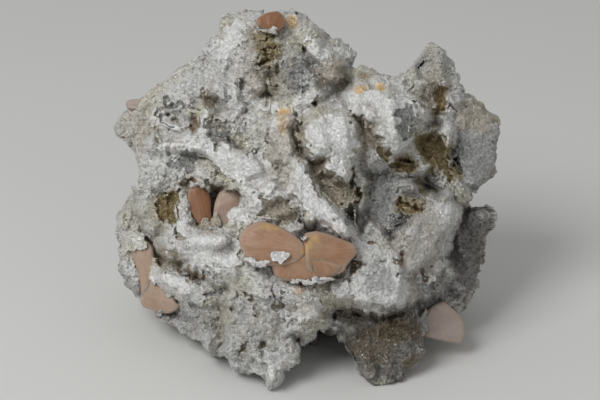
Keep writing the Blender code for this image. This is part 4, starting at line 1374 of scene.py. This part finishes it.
def sheaf(outline, out, deep, lean, turn, waist, ridge, tip):
    """Rings from the back to the front: they crowd at the rim and are (1 - reach ** 9) ** 0.25 high."""
    rim = smooth_loop(outline, out, SHEAF_AROUND)
    middle = rim.mean(axis=0)
    side = np.linspace(-1, 1, SHEAF_ROWS + 2)[1:-1, None]
    reach = 1 - np.abs(side) ** 2.2
    height = np.sign(side) * (1 - reach ** 9) ** 0.25 * deep / 2
    flat = middle + reach[..., None] * (rim - middle)
    fall = (flat - middle) @ -np.tan(np.radians([turn, lean]))
    waist_at = on_face(*waist, out)[:2]
    arm = flat - waist_at
    angle = np.arctan2(arm[..., 1], arm[..., 0])
    far = np.linalg.norm(arm, axis=-1)
    fan = np.stack([40 * angle, 0.35 * far, 0 * far], axis=-1).reshape(-1, 3)
    rib = smooth_noise(fan, 1.0, 61).reshape(far.shape) - 0.5
    wave = smooth_noise(fan, 6.0, 62).reshape(far.shape) - 0.5
    up = np.clip(side, 0, None) ** 0.5
    relief = (RIB * rib + WAVE * wave) * np.clip(far / 4, 0, 1)
    if ridge is not None:
        start, end = on_face(*ridge[:2], out)[:2], on_face(*ridge[2:], out)[:2]
        way = (end - start) / np.linalg.norm(end - start)
        below = (flat - start) @ [way[1], -way[0]]
        relief = relief - tip * (np.hypot(below.clip(0), 0.4) - 0.4) * up
    rings = np.dstack([flat, out - deep / 2 + fall + height + relief * (0.3 + 0.7 * up)])
    poles = [[*middle, rings[0, :, 2].mean()], [*middle, rings[-1, :, 2].mean()]]
    points = np.vstack([rings.reshape(-1, 3), poles])
    return points, ring_faces(SHEAF_ROWS, SHEAF_AROUND), waist_at


# %% [markdown]
# Stilbite is peach with a pearly lustre, paler along its rims and ribs, and deeper in colour
# where it is thick. Its fibres follow the fan, so the streaks are read from a UV map whose U is
# the angle about the waist and whose V is the distance from it.

# %% The stilbite material
# Each crystal's colours, on the fan and between its streaks
PALE_RIM, DUSTED = (0.46, 0.38, 0.32, 1), (0.50, 0.33, 0.12, 1)
PEACH = ((0.37, 0.245, 0.16, 1), (0.31, 0.16, 0.085, 1))
PALE_PEACH = ((0.40, 0.30, 0.24, 1), (0.35, 0.235, 0.165, 1))
PINK = ((0.38, 0.325, 0.29, 1), (0.32, 0.25, 0.215, 1))
BROWN = ((0.27, 0.125, 0.055, 1), (0.18, 0.075, 0.03, 1))
SALMON = ((0.40, 0.295, 0.245, 1), (0.34, 0.23, 0.175, 1))
CRYSTAL_COLOURS = {"stilbite_bow_tie": PEACH, "stilbite_left_blade": PALE_PEACH, "stilbite_right_blade": PINK,
                   "stilbite_vug_large": BROWN, "stilbite_vug_small": SALMON,
                   "stilbite_crown": BROWN, "stilbite_corner": PINK}


def make_stilbite(name, light, deep_colour):
    material, tree, shader = new_material(name, IOR=1.5, Subsurface_Weight=0.5, Subsurface_Scale=1.5 * MM,
                                          Subsurface_Radius=(1.0, 0.55, 0.35))
    fan = add_node(tree, "ShaderNodeMapping", Vector=tree.nodes.new("ShaderNodeUVMap").outputs[0],
                   Scale=(30.0, 0.25, 1.0))
    streak = add_noise(tree, fan.outputs[0], 1.0, 4.0)
    cloud = add_noise(tree, object_place(tree), 110.0, 3.0)
    both = add_math(tree, "ADD", add_math(tree, "MULTIPLY", streak, 0.45),
                    add_math(tree, "MULTIPLY", cloud, 0.55))
    colour = add_mix(tree, add_ramp(tree, both, 0.35, 0.65), deep_colour, light)
    edge = add_math(tree, "MULTIPLY", number_on_points(tree, "edge"), 0.5)
    colour = add_mix(tree, edge, colour, PALE_RIM)
    colour = add_mix(tree, number_on_points(tree, "yellow"), colour, DUSTED)

    def ribbed(height):
        return add_math(tree, "ADD", streak, add_math(tree, "MULTIPLY", height, 0.2))

    sugared(tree, shader, colour, ribbed, 0.2, Grains_per_Metre=900.0, Contrast=0.08,
            Smoothest=0.42, Roughest=0.65)
    return material


def grow_crystal(name, sheaves):
    """Overlapping sheaves, each closed, in one piece that stands for the measured crystal."""
    shapes, angles, levels = [], [], []
    for row in sheaves:
        points, faces, waist_at = sheaf(*row)
        shapes.append((points, faces))
        arm = points[:, :2] - waist_at
        angles.append(np.stack([np.arctan2(arm[:, 1], arm[:, 0]), np.linalg.norm(arm, axis=1)], axis=1))
        levels.append(np.r_[np.repeat(np.linspace(0, 1, SHEAF_ROWS), SHEAF_AROUND), 0, 1])
    points, faces = joined(shapes)
    level = np.concatenate(levels)
    numbers = {"edge": np.exp(-((level - 0.62) / 0.10) ** 2), "yellow": stain_or_shade_of(points, STAINS_AND_SHADE["yellow"])}
    material = make_stilbite(name.replace("stilbite_", "stilbite_of_"), *CRYSTAL_COLOURS[name])
    piece = dress(name + "_sheaf", (points, faces, numbers), material, name)
    piece.data.polygons.foreach_set("use_smooth", np.ones(len(faces), bool))
    fan = np.vstack(angles)[faces.ravel()].astype(np.float32)
    piece.data.uv_layers.new(name="fan").data.foreach_set("uv", fan.ravel())
    return len(faces)


tell("stilbite triangles:", {name: grow_crystal(name, sheaves) for name, sheaves in CRYSTALS.items()})

# %% [markdown]
# The studio is plain: a pale floor, one large soft light above and to the left, a weaker one
# on the right, and an even grey sky that lifts the shadows.

# %% Floor and lights
FLOOR_REACH = 4.0
LIT_PLACE = (0, 0, 0.05)


def make_floor():
    material, tree, shader = new_material("pale_floor", Roughness=0.6)
    cloud = add_noise(tree, object_place(tree), 6.0, 2.0)
    feed(tree, shader, {"Base_Color": add_mix(tree, cloud, (0.66, 0.66, 0.65, 1), (0.70, 0.70, 0.69, 1))})
    corners = [(x * FLOOR_REACH, y * FLOOR_REACH, 0) for x, y in ((-1, -1), (1, -1), (1, 1), (-1, 1))]
    mesh = bpy.data.meshes.new("floor")
    mesh.from_pydata(corners, [], [(0, 1, 2, 3)])
    mesh.materials.append(material)
    add_object("floor", mesh)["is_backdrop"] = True


def aim(obj, eye, target):
    obj.location = eye
    obj.rotation_euler = (Vector(target) - Vector(eye)).to_track_quat("-Z", "Y").to_euler()


def soft_light(name, eye, size, power):
    light = bpy.data.lights.new(name, "AREA")
    light.shape = "DISK"
    light.size, light.energy = size, power
    aim(add_object(name, light), eye, LIT_PLACE)


make_floor()
soft_light("key", (-0.5, -0.6, 0.85), 0.55, 7.4)
soft_light("fill", (0.7, -0.9, 0.45), 0.7, 0.7)
world = bpy.data.worlds.new("studio")
world.use_nodes = True
feed(world.node_tree, world.node_tree.nodes["Background"], {"Color": (1.0, 1.0, 0.98, 1), "Strength": 0.38})
bpy.context.scene.world = world
bpy.context.scene.view_settings.view_transform = "Standard"

# %% [markdown]
# The camera stands straight in front of the leaning face, as the tracing grid says, so each
# square of the grid falls on one pixel of a 600 by 400 picture.

# %% Camera
SENSOR = 36.0
lens = bpy.data.cameras.new("camera")
lens.sensor_width = SENSOR
lens.lens = SENSOR * VIEW_DISTANCE / (GRID_SIZE[0] * SQUARE)
camera = add_object("camera", lens)
aim(camera, to_row(EYE), to_row(on_face(*GRID_MIDDLE)))
bpy.context.scene.camera = camera
print("lens", round(lens.lens, 1), "mm, eye at", [round(v, 3) for v in camera.location])

# %% Finish
low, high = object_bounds()
tell("visual box in mm:", [round(v * 1000, 1) for v in (*low, *high)])
